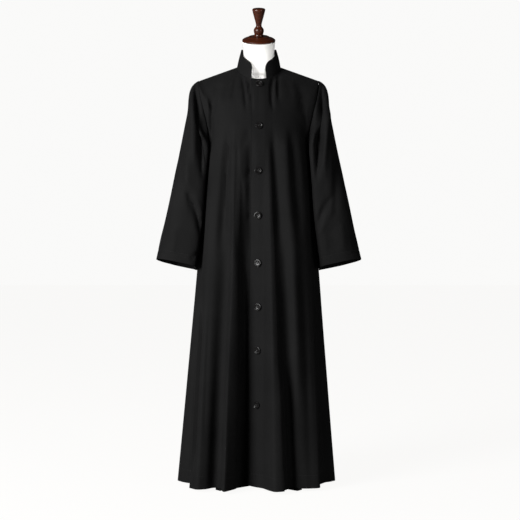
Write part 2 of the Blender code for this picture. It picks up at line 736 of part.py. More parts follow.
def collar(turn, levels):
    """The outer face of the collar; levels go from the neckline seam (0) to its top edge (1)."""
    angle = np.radians(turn)
    bottom = neckline(turn) + np.array([0.0, 0.0, 2 * SEAM])
    depth = np.where(np.cos(angle) > 0, COLLAR_TOP_FRONT, COLLAR_TOP_BACK)
    top = np.stack([
        COLLAR_TOP_HALF * np.sin(angle),
        COLLAR_TOP_Y - depth * np.cos(angle),
        bottom[:, 2] + COLLAR_HEIGHT,
    ], axis=-1)
    steps = np.linalg.norm(np.diff(bottom, axis=0), axis=1)
    run = np.concatenate([[0.0], np.cumsum(steps)])
    near = np.minimum(run, run[-1] - run)
    corner = np.clip(1 - near / COLLAR_CORNER, 0, 1)
    drop = COLLAR_CORNER * (1 - np.sqrt(1 - corner ** 2)) / COLLAR_HEIGHT
    level = np.asarray(levels)[:, None] * (1 - drop)[None, :]
    return bottom + (top - bottom) * level[..., None]


def near_turns(panel_columns):
    """Where the columns of a panel meet the neckline, in degrees from the centre front."""
    chest = skirt(panel_columns, folds)[0]
    inside = (np.abs(chest) <= FRONT_NECK) | (np.abs(chest) >= BACK_NECK)
    chest = chest[inside]
    return np.where(chest < 0, 360.0 - neck_turn(-chest), neck_turn(np.abs(chest)))


neck_turns = np.concatenate([
    near_turns(front_left_columns),
    near_turns(back_left_columns),
    near_turns(back_right_columns),
    near_turns(front_right_columns),
    [COLLAR_END, COLLAR_END + 2.2, 360.0 - COLLAR_END - 2.2, 360.0 - COLLAR_END],
])
neck_turns = neck_turns[(neck_turns >= COLLAR_END) & (neck_turns <= 360.0 - COLLAR_END)]
neck_turns = np.unique(np.round(neck_turns, 3))
neck_turns = neck_turns[np.concatenate([[True], np.diff(neck_turns) > 0.8])]
band = collar(neck_turns, np.linspace(1.0, 0.0, COLLAR_ROWS + 1))
band_inward = -facing(band)
band_inward[-1] = neck_inward(neck_turns)
wall("collar", band, band_inward, CLOTH, black_cloth)

# ---------------------------------------------------------------------------------------------
# Buttons, sewn flat on the over front
over_mesh = bpy.data.objects["front_left"].data
over_face = BVHTree.FromPolygons(
    [v.co.copy() for v in over_mesh.vertices], [tuple(p.vertices) for p in over_mesh.polygons]
)
INTO_FRONT = Vector((0.0, 1.0, 0.0))


def front_spot(across, height):
    """The point of the over front at this place, seen from straight ahead, and the way out."""
    spot, way, _, _ = over_face.ray_cast(Vector((across, -1.0, height)), INTO_FRONT)
    return np.array(spot), np.array(way)


for number, (across, height) in enumerate(BUTTONS, start=1):
    seat, way = front_spot(across, height)
    round_about = [
        front_spot(across + r * math.cos(t), height + r * math.sin(t))
        for r in (0.0025, 0.005, 0.0075, 0.010, 0.0125)
        for t in np.arange(24) * math.pi / 12
    ]
    axis = unit(way + sum(other for _, other in round_about) / len(round_about))
    proud = max((spot - seat) @ axis for spot, _ in round_about)
    seat = seat + axis * (max(proud, 0.0) + 0.0008)
    lathe(f"button_{number}", BUTTON_PROFILE, BUTTON_SIDES, black_button, seat, axis)

# ---------------------------------------------------------------------------------------------
# Dress form: a padded torso and neck in one, closed top and bottom


def form_face(sides):
    """The rings of the dress form, each a rounded outline, tilting forward up the neck."""
    turn = np.arange(sides) * 360.0 / sides
    rings = []
    for height, half, front, back, middle, power, tilt in FORM_SECTIONS:
        shape = {"half": half, "front": front, "back": back, "power": power, "shift": 0.0}
        flat, _ = outline(turn, shape)
        z = height + flat[:, 1] * math.tan(math.radians(tilt))
        rings.append(np.column_stack([flat[:, 0], flat[:, 1] + middle, z]))
    return np.array(rings)


form_rings = form_face(FORM_SIDES)
form_points = form_rings.reshape(-1, 3)
form_faces = []
for ring in range(len(FORM_SECTIONS) - 1):
    for side in range(FORM_SIDES):
        a = ring * FORM_SIDES + side
        b = ring * FORM_SIDES + (side + 1) % FORM_SIDES
        form_faces.append((a, b, b + FORM_SIDES, a + FORM_SIDES))
form_faces.append(tuple(range(FORM_SIDES - 1, -1, -1)))
top_start = (len(FORM_SECTIONS) - 1) * FORM_SIDES
form_faces.append(tuple(range(top_start, top_start + FORM_SIDES)))
solid("torso", form_points, form_faces, form_cover, smooth=True, sharp=50.0)

# Neck cap and finial, turned from one wood, on the tilted top of the neck
lean = math.radians(CAP_TILT)
cap_axis = np.array([0.0, -math.sin(lean), math.cos(lean)])
neck_top = np.array([0.0, FORM_SECTIONS[-1][4], FORM_SECTIONS[-1][0]])
lathe("neck_cap", CAP_PROFILE, CAP_SIDES, dark_wood, neck_top + cap_axis * CAP_GAP, cap_axis)
finial_seat = neck_top + cap_axis * (CAP_GAP + CAP_PROFILE[-1][1] + 0.0004)
lathe("finial", FINIAL_PROFILE, FINIAL_SIDES, dark_wood, finial_seat, cap_axis)

# Stand: a pole, a hub and four flat legs
pole_profile = ((POLE_RADIUS, HUB_HEIGHT + 0.0004), (POLE_RADIUS, POLE_TOP))
lathe("pole", pole_profile, 20, stand_metal)
lathe("base_hub", HUB_PROFILE, 24, stand_metal)
for number, turn in enumerate(
    (LEG_DIRECTION, 180 - LEG_DIRECTION, 180 + LEG_DIRECTION, 360 - LEG_DIRECTION), start=1
):
    angle = math.radians(turn)
    along = np.array([math.cos(angle), math.sin(angle), 0.0])
    across = np.array([-math.sin(angle), math.cos(angle), 0.0])
    half = LEG_WIDTH / 2
    rim = (
        (-half, 0.0),
        (half, 0.0),
        (half, LEG_HEIGHT - LEG_BEVEL),
        (half - LEG_BEVEL, LEG_HEIGHT),
        (-half + LEG_BEVEL, LEG_HEIGHT),
        (-half, LEG_HEIGHT - LEG_BEVEL),
    )
    near = math.sqrt(LEG_START ** 2 - half ** 2) + 0.0028
    ends = []
    for reach in (near, LEG_REACH):
        for sideways, up in rim:
            ends.append(along * reach + across * sideways + np.array([0.0, 0.0, up]))
    count = len(rim)
    leg_faces = [tuple(range(count - 1, -1, -1)), tuple(range(count, 2 * count))]
    for k in range(count):
        after = (k + 1) % count
        leg_faces.append((k, after, after + count, k + count))
    solid(f"base_leg_{number}", ends, leg_faces, stand_metal)
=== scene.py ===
"""The looks of a long black cassock on a limbless dress form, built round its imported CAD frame.

Metres, +Z up, the front of the garment toward -Y, +X the wearer's left.
"""

import math

import bmesh
import bpy
import numpy as np
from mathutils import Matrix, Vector


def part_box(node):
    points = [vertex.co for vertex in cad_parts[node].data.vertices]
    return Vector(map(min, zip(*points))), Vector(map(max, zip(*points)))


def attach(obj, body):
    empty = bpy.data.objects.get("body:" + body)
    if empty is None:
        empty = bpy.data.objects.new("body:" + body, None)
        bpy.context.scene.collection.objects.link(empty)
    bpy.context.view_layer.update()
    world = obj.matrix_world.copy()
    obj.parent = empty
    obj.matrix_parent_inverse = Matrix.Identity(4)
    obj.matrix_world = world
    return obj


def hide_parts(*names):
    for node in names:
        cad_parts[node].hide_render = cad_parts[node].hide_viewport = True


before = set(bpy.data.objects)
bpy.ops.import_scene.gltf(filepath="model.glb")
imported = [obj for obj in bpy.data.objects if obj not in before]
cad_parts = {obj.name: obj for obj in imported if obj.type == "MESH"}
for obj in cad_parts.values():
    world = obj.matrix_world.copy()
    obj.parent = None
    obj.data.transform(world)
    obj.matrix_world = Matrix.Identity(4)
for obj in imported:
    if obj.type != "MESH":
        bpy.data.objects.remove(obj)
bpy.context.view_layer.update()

# ====================================================================
# Body of the garment: two fronts and two backs of black wool twill, cut flared, sewn at the
# shoulders, sides and centre back, and hung from the shoulders and chest of the dress form.
# --------------------------------------------------------------------
# Thickness of the cloth, and how far its walls stand back from a seam line and from each other
CLOTH = 0.0020
SEAM = 0.00022
OVERLAP_GAP = 0.0005
HEM_HEIGHT = 0.012
CHEST_HEIGHT = 1.200
COLUMN_STEP = 0.0046
TOP_ROWS = 34
HANG_ROWS = 116
EDGE_GAP = 0.00012
# How strongly the curve from the top edge is pulled, and columns are crowded toward the seams
TOP_PULL = 0.38
SEAM_CROWDING = 0.35
# Small steps beside a column, off the armhole (degrees) and below a joint, and where creases fade
BESIDE = 0.002
OFF_ARM = 0.1
BELOW_JOINT = 0.01
LAP_CLEAR = 0.004
DOUBLES = 1e-6
CREASE_IN, CREASE_OUT = 0.25, 0.35
FACING_FROM, FACING_OVER = 0.05, 0.45

CHEST = {"half": 0.166, "front": 0.118, "back": 0.108, "power": 2.5, "shift": 0.0}
HEM = {"half": 0.271, "front": 0.160, "back": 0.165, "power": 2.7, "shift": -0.0075}

# The fold lines of the skirt, going round from the centre back by the wearer's right side:
# directions at the chest and the hem in degrees from the centre front, how far each stands out
# from the smooth hem, and how far down the skirt it starts (0 at the chest, 1 at the hem)
FOLD_LINES = (
    # name, chest, hem, out, start
    ("centre back seam", -180.0, -180.0, -0.006, 0.1),
    ("back ridge one", -172.0, -170.0, 0.026, 0.05),
    ("back valley one", -163.0, -160.0, -0.02, 0.12),
    ("back ridge two", -155.0, -149.0, 0.034, 0.05),
    ("back valley two", -145.0, -139.0, -0.026, 0.15),
    ("right back ridge", -128.0, -128.0, 0.026, 0.08),
    ("right back valley", -112.0, -116.0, -0.034, 0.15),
    ("right side back", -99.0, -101.0, -0.012, 0.05),
    ("right side", -90.0, -90.0, -0.002, 0.0),
    ("right side front", -86.0, -80.0, -0.015, 0.0),
    ("right side slope", -82.0, -72.0, -0.028, 0.0),
    ("right pleat side", -77.0, -62.0, -0.038, 0.0),
    ("right pleat depth", -72.0, -53.0, -0.034, 0.02),
    ("right pleat edge", -68.0, -45.2, 0.018, 0.02),
    ("right pleat face", -60.0, -39.0, 0.0265, 0.05),
    ("right panel", -52.0, -34.5, 0.014, 0.08),
    ("right wide valley", -37.0, -28.0, -0.0125, 0.02),
    ("right ridge foot", -31.0, -25.4, -0.01, 0.1),
    ("right ridge", -25.0, -20.9, 0.041, 0.05),
    ("right ridge slope", -20.5, -16.4, 0.0, 0.12),
    ("placket valley wall", -17.5, -12.2, -0.057, 0.15),
    ("placket valley", -13.6, -8.9, -0.087, 0.17),
    ("over edge", -8.5, -6.9, -0.0755, 0.16),
    ("button line", -0.6, -0.6, -0.042, 0.1),
    ("under edge", 5.2, 5.0, -0.019, 0.1),
    ("placket slope", 8.6, 9.2, 0.017, 0.06),
    ("left ridge", 11.2, 13.0, 0.038, 0.05),
    ("left ridge edge", 13.6, 16.4, 0.03, 0.06),
    ("left ridge foot", 16.0, 18.9, 0.003, 0.08),
    ("left valley", 19.0, 23.4, -0.012, 0.05),
    ("left slope", 25.0, 29.3, -0.006, 0.08),
    ("left wide ridge", 38.0, 35.5, 0.007, 0.06),
    ("left panel", 52.0, 39.5, 0.01, 0.05),
    ("left pleat edge", 68.0, 42.6, 0.009, 0.02),
    ("left pleat depth", 72.0, 51.0, -0.036, 0.02),
    ("left pleat side", 77.0, 62.0, -0.04, 0.0),
    ("left side slope", 82.0, 72.0, -0.036, 0.0),
    ("left side front", 86.0, 80.0, -0.018, 0.0),
    ("left side", 90.0, 90.0, -0.003, 0.0),
    ("left side back", 100.0, 102.0, -0.02, 0.08),
    ("left back valley", 114.0, 113.0, -0.03, 0.12),
    ("left back ridge", 128.0, 126.0, 0.03, 0.05),
    ("back valley three", 142.0, 139.0, -0.022, 0.15),
    ("back ridge three", 155.0, 151.0, 0.03, 0.06),
    ("back valley four", 167.0, 163.0, -0.018, 0.12),
    ("back ridge four", 174.0, 172.0, 0.014, 0.1),
    ("centre back seam again", 180.0, 180.0, -0.006, 0.1),
)
FOLD_GROWTH = 0.85

# Where the top edge changes from neckline to shoulder seam to armhole, in chest degrees
FRONT_NECK, FRONT_TIP, SIDE, BACK_TIP, BACK_NECK = 25.0, 52.0, 90.0, 128.0, 155.0
FRONT_SPREAD = 0.75
BACK_SPREAD = 0.65
NECK_SPREAD = 1.5

NECK_HALF = 0.074
NECK_POINT_Y = 0.012
NECK_POINT_Z = 1.418
NECK_FRONT = 0.085
NECK_BACK = 0.055
NECK_SLOPE = 0.635
NECK_BACK_RISE = 0.007
NECK_MIDDLE_Y = 0.004
NECK_WALL_FALL = 0.25

# The left armhole seam: degrees round it from the shoulder tip by the front, and its place
ARMHOLE = (
    # round, out, y, height
    (0.0, 0.203, 0.008, 1.371),
    (25.0, 0.2045, -0.02, 1.357),
    (50.0, 0.1995, -0.041, 1.321),
    (80.0, 0.187, -0.055, 1.27),
    (110.0, 0.1755, -0.053, 1.224),
    (140.0, 0.167, -0.041, 1.19),
    (162.0, 0.1625, -0.02, 1.172),
    (180.0, 0.1615, 0.0, 1.168),
    (198.0, 0.163, 0.02, 1.173),
    (220.0, 0.168, 0.039, 1.192),
    (250.0, 0.178, 0.052, 1.228),
    (280.0, 0.191, 0.054, 1.275),
    (310.0, 0.201, 0.046, 1.322),
    (335.0, 0.2047, 0.0305, 1.357),
    (360.0, 0.203, 0.008, 1.371),
)

# The way the cloth leaves its top edge, by direction at the chest, and where it starts to hang
LEAVING = (
    # chest, x, y, z, hangs from
    (0.0, 0.0, -0.5, -0.87, 1.2),
    (12.0, 0.08, -0.55, -0.83, 1.2),
    (25.0, 0.1, -0.85, -0.5, 1.198),
    (38.0, 0.0, -0.92, -0.39, 1.195),
    (52.0, -0.05, -0.85, -0.52, 1.185),
    (58.0, -0.35, -0.55, -0.75, 1.17),
    (68.0, -0.35, -0.15, -0.92, 1.14),
    (80.0, -0.16, -0.02, -1.0, 1.11),
    (90.0, 0.05, 0.0, -1.0, 1.085),
    (100.0, -0.04, -0.05, -1.0, 1.11),
    (112.0, -0.35, 0.15, -0.92, 1.14),
    (122.0, -0.35, 0.55, -0.75, 1.17),
    (128.0, -0.05, 0.85, -0.52, 1.185),
    (142.0, 0.0, 0.92, -0.39, 1.195),
    (155.0, 0.1, 0.85, -0.5, 1.198),
    (168.0, 0.08, 0.5, -0.86, 1.2),
    (180.0, 0.0, 0.42, -0.9, 1.2),
)

# Finer creases of the two fronts, each a straight chord with a bow, as seen from the front:
# where it starts and ends, how far its middle bows to the viewer's right, its half width, and
# its height (below zero for a trough)
FRONT_CREASES = (
    # name, x, z, end x, end z, bow, half width, height
    ("right neck drag", -0.058, 1.39, -0.041, 1.24, 0.003, 0.007, -0.006),
    ("right neck drag two", -0.04, 1.385, -0.024, 1.24, 0.003, 0.0065, -0.006),
    ("right neck drag ridge", -0.049, 1.372, -0.033, 1.27, 0.003, 0.006, 0.0026),
    ("right neck fan", -0.078, 1.378, -0.09, 1.28, 0.0, 0.007, -0.002),
    ("right neck fan two", -0.092, 1.37, -0.118, 1.28, -0.004, 0.008, -0.0022),
    ("right chest diagonal", -0.128, 1.365, -0.156, 1.23, -0.006, 0.01, -0.007),
    ("right chest ridge", -0.118, 1.345, -0.138, 1.25, -0.006, 0.01, 0.0026),
    ("right shoulder crease", -0.166, 1.345, -0.16, 1.12, 0.004, 0.0055, -0.005),
    ("right shoulder ridge", -0.174, 1.33, -0.168, 1.18, 0.003, 0.006, 0.003),
    ("left neck drag", 0.053, 1.39, 0.05, 1.24, -0.009, 0.0065, -0.0065),
    ("left neck drag ridge", 0.059, 1.368, 0.06, 1.29, -0.006, 0.006, 0.0026),
    ("left neck drag two", 0.069, 1.4, 0.068, 1.27, -0.003, 0.007, -0.005),
    ("left neck fan", 0.09, 1.375, 0.104, 1.29, 0.004, 0.008, -0.002),
    ("left chest diagonal", 0.134, 1.375, 0.156, 1.225, -0.004, 0.011, -0.009),
    ("left chest ridge", 0.124, 1.345, 0.146, 1.25, -0.004, 0.01, 0.0026),
    ("right wide valley", -0.102, 0.96, -0.155, -0.24, 0.002, 0.018, -0.014),
    ("right outer valley", -0.19, 0.7, -0.23, -0.1, 0.0, 0.014, -0.013),
    ("left wide valley", 0.082, 0.86, 0.114, -0.2, -0.002, 0.015, -0.009),
    ("left far ridge", 0.104, 1.0, 0.134, 0.2, 0.0, 0.018, 0.012),
    ("left panel turn", 0.142, 0.9, 0.182, -0.2, 0.0, 0.023, -0.01),
    ("left low ridge", 0.068, 0.46, 0.088, -0.2, 0.0, 0.015, 0.01),
    ("left low valley", 0.096, 0.46, 0.12, -0.2, 0.0, 0.013, -0.008),
    ("right ridge crest", -0.075, 0.9, -0.082, -0.2, 0.002, 0.015, 0.01),
    ("right dart", -0.096, 1.225, -0.128, 0.74, -0.003, 0.012, -0.014),
    ("right dart ridge", -0.085, 1.19, -0.09, 0.88, 0.0, 0.011, 0.004),
    ("right strand", -0.073, 1.18, -0.082, 0.8, 0.0, 0.007, -0.0022),
    ("right inner ridge", -0.06, 1.17, -0.068, 0.76, 0.0, 0.012, 0.0036),
    ("left inner valley", 0.046, 1.21, 0.068, 0.78, 0.002, 0.012, -0.01),
    ("left inner ridge", 0.084, 1.215, 0.102, 0.76, 0.002, 0.014, 0.007),
    ("left outer valley", 0.106, 1.215, 0.136, 0.8, 0.004, 0.014, -0.0115),
    ("left outer ridge", 0.116, 1.19, 0.148, 0.96, 0.004, 0.009, 0.003),
    ("placket pull one", -0.03, 1.198, -0.062, 1.12, 0.004, 0.012, -0.003),
    ("placket pull two", -0.029, 1.066, -0.046, 1.03, 0.004, 0.007, -0.005),
    ("placket pull three", -0.029, 0.918, -0.042, 0.886, 0.003, 0.006, -0.004),
    ("placket hollow", -0.027, 1.19, -0.031, 0.7, 0.0, 0.013, -0.012),
    ("left thin crease", 0.056, 0.72, 0.083, 0.06, 0.0, 0.0035, 0.002),
    ("right thin crease", -0.096, 0.64, -0.112, 0.08, 0.002, 0.004, 0.0018),
    ("left panel crease", 0.149, 0.7, 0.17, 0.14, 0.002, 0.0045, -0.0024),
    ("right panel crease", -0.162, 0.62, -0.18, 0.12, -0.002, 0.005, -0.002),
)

# The same for the two backs, with the same axes
BACK_CREASES = (
    # name, x, z, end x, end z, bow, half width, height
    ("left nape drag", 0.03, 1.405, 0.048, 1.3, 0.004, 0.0065, -0.003),
    ("right nape drag", -0.034, 1.405, -0.056, 1.29, -0.003, 0.007, -0.0032),
    ("left blade fan", 0.07, 1.4, 0.104, 1.27, 0.006, 0.009, -0.003),
    ("right blade fan", -0.076, 1.4, -0.116, 1.26, -0.006, 0.009, -0.003),
    ("left arm crease", 0.164, 1.33, 0.148, 1.14, -0.003, 0.007, -0.005),
    ("right arm crease", -0.162, 1.33, -0.15, 1.12, 0.003, 0.007, -0.0052),
    ("left back valley", 0.056, 1.19, 0.072, 0.82, 0.002, 0.013, -0.006),
    ("left back ridge", 0.086, 1.2, 0.106, 0.8, 0.003, 0.014, 0.0046),
    ("right back valley", -0.05, 1.18, -0.07, 0.78, 0.0, 0.013, -0.0064),
    ("right back ridge", -0.082, 1.19, -0.102, 0.84, -0.003, 0.013, 0.0044),
    ("right outer back valley", -0.112, 1.17, -0.136, 0.9, -0.004, 0.011, -0.005),
    ("left outer back valley", 0.118, 1.18, 0.144, 0.92, 0.004, 0.011, -0.0048),
    ("centre pull", 0.01, 1.15, 0.028, 0.95, 0.0, 0.011, -0.0036),
)


def unit(vectors):
    """The same directions, one long."""
    return vectors / np.linalg.norm(vectors, axis=-1, keepdims=True)


def ease(t):
    """Zero below 0, one above 1, and 3t^2 - 2t^3 between."""
    t = np.clip(t, 0.0, 1.0)
    return t * t * (3 - 2 * t)


def hermite(start, end, start_slope, end_slope, gap, t):
    """The cubic between two values with the given slopes, t of the way across the gap."""
    return (
        start * (1 + 2 * t) * (1 - t) ** 2
        + start_slope * gap * t * (1 - t) ** 2
        + end * t * t * (3 - 2 * t)
        + end_slope * gap * t * t * (t - 1)
    )


def run_along(points):
    """The distance along a path to each of its points, from the first one."""
    steps = np.linalg.norm(np.diff(points, axis=0), axis=1)
    return np.concatenate([[0.0], np.cumsum(steps)])


def read(at, places, values):
    """Rows of three values, read in straight lines between the places where they are given."""
    return np.stack([np.interp(at, places, values[:, k]) for k in range(3)], axis=-1)


def through(places, values, at):
    """A smooth curve through the values that never swings past them (monotone cubic pieces)."""
    places = np.asarray(places, float)
    values = np.asarray(values, float)
    gaps = np.diff(places)
    rises = np.diff(values) / gaps
    slopes = np.zeros(len(places))
    turning = rises[1:] * rises[:-1] > 0
    before, after = gaps[:-1], gaps[1:]
    one = 2 * after + before
    two = after + 2 * before
    with np.errstate(divide="ignore", invalid="ignore"):
        middle = (one + two) / (one / rises[:-1] + two / rises[1:])
    slopes[1:-1] = np.where(turning, middle, 0.0)
    slopes[0], slopes[-1] = rises[0], rises[-1]
    spot = np.clip(np.searchsorted(places, at) - 1, 0, len(gaps) - 1)
    t = (at - places[spot]) / gaps[spot]
    return hermite(values[spot], values[spot + 1], slopes[spot], slopes[spot + 1], gaps[spot], t)


def round_loop(places, values, at):
    """A smooth closed curve through the values of a loop, its first row repeated as its last."""
    length = places[-1] - places[0]
    places = np.concatenate([places[:-1] - length, places, places[1:] + length])
    values = np.concatenate([values[:-1], values, values[1:]])
    slopes = np.gradient(values, places)
    spot = np.clip(np.searchsorted(places, at) - 1, 1, len(places) - 3)
    gap = places[spot + 1] - places[spot]
    t = (at - places[spot]) / gap
    return hermite(values[spot], values[spot + 1], slopes[spot], slopes[spot + 1], gap, t)


def outline(direction, shape):
    """A rounded-box outline in plan, |x/a|^p + |y/b|^p = 1: its points and the ways out of it."""
    angle = np.radians(direction)
    sine, cosine = np.sin(angle), np.cos(angle)
    power = shape["power"]
    reach = (np.abs(sine) ** power + np.abs(cosine) ** power) ** (-1 / power)
    depth = np.where(cosine > 0, shape["front"], shape["back"])
    x = shape["half"] * reach * sine
    y = -depth * reach * cosine
    out_x = np.sign(x) * (np.abs(x) / shape["half"]) ** (power - 1) / shape["half"]
    out_y = np.sign(y) * (np.abs(y) / depth) ** (power - 1) / depth
    points = np.stack([x + shape["shift"], y], axis=-1)
    return points, unit(np.stack([out_x, out_y], axis=-1))


def neckline(turn):
    """The neckline seam, an oval sloping down to the front; turn is degrees from the centre."""
    angle = np.radians(turn)
    x = NECK_HALF * np.sin(angle)
    depth = np.where(np.cos(angle) > 0, NECK_FRONT, NECK_BACK)
    y = NECK_POINT_Y - depth * np.cos(angle)
    ahead = (y - NECK_POINT_Y) * NECK_SLOPE
    behind = NECK_BACK_RISE * np.tanh(np.maximum(ahead, 0) / NECK_BACK_RISE)
    z = NECK_POINT_Z + np.where(ahead < 0, ahead, behind)
    return np.stack([x, y, z], axis=-1)


def armhole(turn):
    """The left armhole seam; turn is in degrees from the shoulder tip round by the front."""
    rows = np.array(ARMHOLE)
    return np.stack([round_loop(rows[:, 0], rows[:, k], turn) for k in (1, 2, 3)], axis=-1)


def armhole_turn(chest):
    """The place round the armhole of a column of cloth, from its direction at the chest."""
    front = np.clip((chest - FRONT_TIP) / (SIDE - FRONT_TIP), 0, 1) ** FRONT_SPREAD * 180.0
    back = np.clip((BACK_TIP - chest) / (BACK_TIP - SIDE), 0, 1) ** BACK_SPREAD * 180.0
    return np.where(chest <= SIDE, front, 360.0 - back)


def neck_turn(chest):
    """The place round the neckline of a column of cloth, from its direction at the chest."""
    front = 90.0 * np.clip(chest / FRONT_NECK, 0, 1) ** NECK_SPREAD
    back = 180.0 - 90.0 * np.clip((180.0 - chest) / (180.0 - BACK_NECK), 0, 1)
    return np.where(chest <= SIDE, front, back)


def neck_inward(turn):
    """Into the wall at the neckline: to the middle of the neck and a little down."""
    here = neckline(turn)
    middle = np.array([0.0, NECK_MIDDLE_Y, 0.0])
    level = (middle - here) * np.array([1.0, 1.0, 0.0])
    return unit(unit(level) + np.array([0.0, 0.0, -NECK_WALL_FALL]))


def top_edge(chest):
    """The top edge of the cloth on the left half, and the ways into its wall off the armhole."""
    tip = armhole(np.array([0.0]))[0]
    neck_point = neckline(np.array([90.0]))[0]
    rise = np.clip((chest - FRONT_NECK) / (FRONT_TIP - FRONT_NECK), 0, 1)
    fall = np.clip((BACK_NECK - chest) / (BACK_NECK - BACK_TIP), 0, 1)
    along = np.where(chest <= SIDE, rise, fall)[:, None]
    shoulder = neck_point + (tip - neck_point) * along
    ridge = unit(tip - neck_point)
    under = unit(np.cross(ridge, np.array([0.0, -1.0, 0.0])))
    under = under if under[2] < 0 else -under
    at_neck = (chest <= FRONT_NECK) | (chest >= BACK_NECK)
    at_arm = (chest >= FRONT_TIP) & (chest <= BACK_TIP)
    points = np.where(at_arm[:, None], armhole(armhole_turn(chest)), shoulder)
    points = np.where(at_neck[:, None], neckline(neck_turn(chest)), points)
    into = np.where(at_neck[:, None], neck_inward(neck_turn(chest)), under)
    return points, into


def skirt(place, table):
    """Chest direction, hem direction, reach and start of the column at a place round the hem."""
    return [through(table["place"], table[key], place) for key in ("chest", "hem", "out", "start")]


def fold_table():
    """The fold lines, with the place of each one along the folded hem, zero at the over edge."""
    rows = [row[1:] for row in FOLD_LINES]
    table = dict(zip(("chest", "hem", "out", "start"), np.array(rows).T))
    points, away = outline(table["hem"], HEM)
    points = points + away * table["out"][:, None]
    table["place"] = run_along(points)
    names = [row[0] for row in FOLD_LINES]
    table["place"] -= table["place"][names.index("over edge")]
    table["at"] = dict(zip(names, table["place"]))
    table["round"] = table["place"][-1] - table["place"][0]
    return table


def facing(grid, closed=False):
    """The way out of a grid of points whose rows go down and whose columns go to the left."""
    if closed:
        across = np.roll(grid, -1, axis=1) - np.roll(grid, 1, axis=1)
    else:
        across = np.gradient(grid, axis=1)
    down = np.gradient(grid, axis=0)
    return unit(np.cross(down, across))


def cubic_run(controls, rows):
    """Rows of points along the cubic (Bezier) curves that leave the first of four controls toward
    the second and reach the last from the third."""
    made = []
    for t in np.linspace(0.0, 1.0, rows + 1):
        weights = ((1 - t) ** 3, 3 * t * (1 - t) ** 2, 3 * t * t * (1 - t), t ** 3)
        made.append(sum(w * c for w, c in zip(weights, controls)))
    return made


def hung_cloth(place, table, lift=0.0, finish=True):
    """The outer face of the body of the garment, a grid of rows from the top edge to the hem.

    Each column leaves the top edge along its own slope on a cubic curve, meets the smooth chest
    outline, and hangs straight from there to the hem, while its fold grows as
    out * ((down - start) / (1 - start)) ** growth.
    """
    chest, hem, out, start = skirt(place, table)
    side = np.where(chest < 0, -1.0, 1.0)
    round_chest = np.abs(chest)
    leave_rows = np.array(LEAVING)
    leave = [np.interp(round_chest, leave_rows[:, 0], leave_rows[:, k]) for k in (1, 2, 3, 4)]
    leaving = unit(np.stack(leave[:3], axis=-1))
    top, into = top_edge(round_chest)
    off_arm = (round_chest < FRONT_TIP + OFF_ARM) | (round_chest > BACK_TIP - OFF_ARM)
    top = np.where(off_arm[:, None], top + leaving * SEAM, top)
    flip = np.stack([side, np.ones_like(side), np.ones_like(side)], axis=-1)
    top, into, leaving = top * flip, into * flip, leaving * flip

    chest_points, _ = outline(chest, CHEST)
    hem_points, away = outline(hem, HEM)
    drop = CHEST_HEIGHT - HEM_HEIGHT

    def hanging(down):
        grown = np.clip((down - start) / (1 - start), 0, None) ** FOLD_GROWTH
        flat = chest_points + (hem_points - chest_points) * down[..., None]
        flat = flat + away * (out * grown)[..., None]
        height = CHEST_HEIGHT - drop * down
        return np.concatenate([flat, height[..., None]], axis=-1)

    join = (CHEST_HEIGHT - leave[3]) / drop
    joint = hanging(join)
    downward = unit(hanging(join + BELOW_JOINT) - joint)
    length = np.linalg.norm(joint - top, axis=1)[:, None]
    pull = length * TOP_PULL
    rows = cubic_run((top, top + leaving * pull, joint - downward * pull, joint), TOP_ROWS)
    for t in np.linspace(0.0, 1.0, HANG_ROWS + 1)[1:]:
        rows.append(hanging(join + (1.0 - join) * t))
    grid = np.array(rows)
    if not finish:
        return grid, None
    inward = -facing(grid)
    for end in (0, -1):
        near = np.array([place[end] - BESIDE, place[end] + BESIDE])
        near = np.where(near < table["place"][0], near + table["round"], near)
        near = np.where(near > table["place"][-1], near - table["round"], near)
        beside, _ = hung_cloth(near, table, finish=False)
        across = beside[:, 1] - beside[:, 0]
        inward[:, end] = -unit(np.cross(np.gradient(grid[:, end], axis=0), across))
    beneath = (round_chest > FRONT_TIP + OFF_ARM) & (round_chest < BACK_TIP - OFF_ARM)
    inward[0] = np.where(beneath[:, None], inward[0], into)
    if np.any(lift):
        grid = grid - inward * (lift * np.ones(len(place)))[None, :, None]
    return grid, inward


def creased(grid, out, creases, front):
    """How far each point of a cloth stands out for its creases.

    A crease is height * exp(-(distance across / half width)^2), fading in over its first
    quarter and out over its last third, on the faces that look toward the front or the back.
    """
    x, z = grid[..., 0], grid[..., 2]
    raised = np.zeros(x.shape)
    for _, x0, z0, x1, z1, bow, half_width, height in creases:
        run = math.hypot(x1 - x0, z1 - z0)
        along = ((x - x0) * (x1 - x0) + (z - z0) * (z1 - z0)) / run ** 2
        across = ((x - x0) * (z0 - z1) + (z - z0) * (x1 - x0)) / run
        across = across - bow * 4 * along * (1 - along)
        fade = ease(along / CREASE_IN) * ease((1 - along) / CREASE_OUT)
        raised += height * fade * np.exp(-(across / half_width) ** 2)
    way = -out[..., 1] if front else out[..., 1]
    return raised * ease((way - FACING_FROM) / FACING_OVER)


def wall_faces(spots, second):
    """The four-sided faces of a wall: outer face, inner face and rims, from a grid of numbers."""
    a, b, c, d = spots[:-1, :-1], spots[:-1, 1:], spots[1:, 1:], spots[1:, :-1]
    outer = np.stack([a, d, c, b], axis=-1).reshape(-1, 4)
    inner = np.stack([b, c, d, a], axis=-1).reshape(-1, 4) + second

    def rim(one, two):
        return np.stack([one, two, two + second, one + second], axis=-1)

    top, bottom = rim(spots[0, :-1], spots[0, 1:]), rim(spots[-1, 1:], spots[-1, :-1])
    first, last = rim(spots[1:, 0], spots[:-1, 0]), rim(spots[:-1, -1], spots[1:, -1])
    return [outer, inner, top, bottom], [first, last]


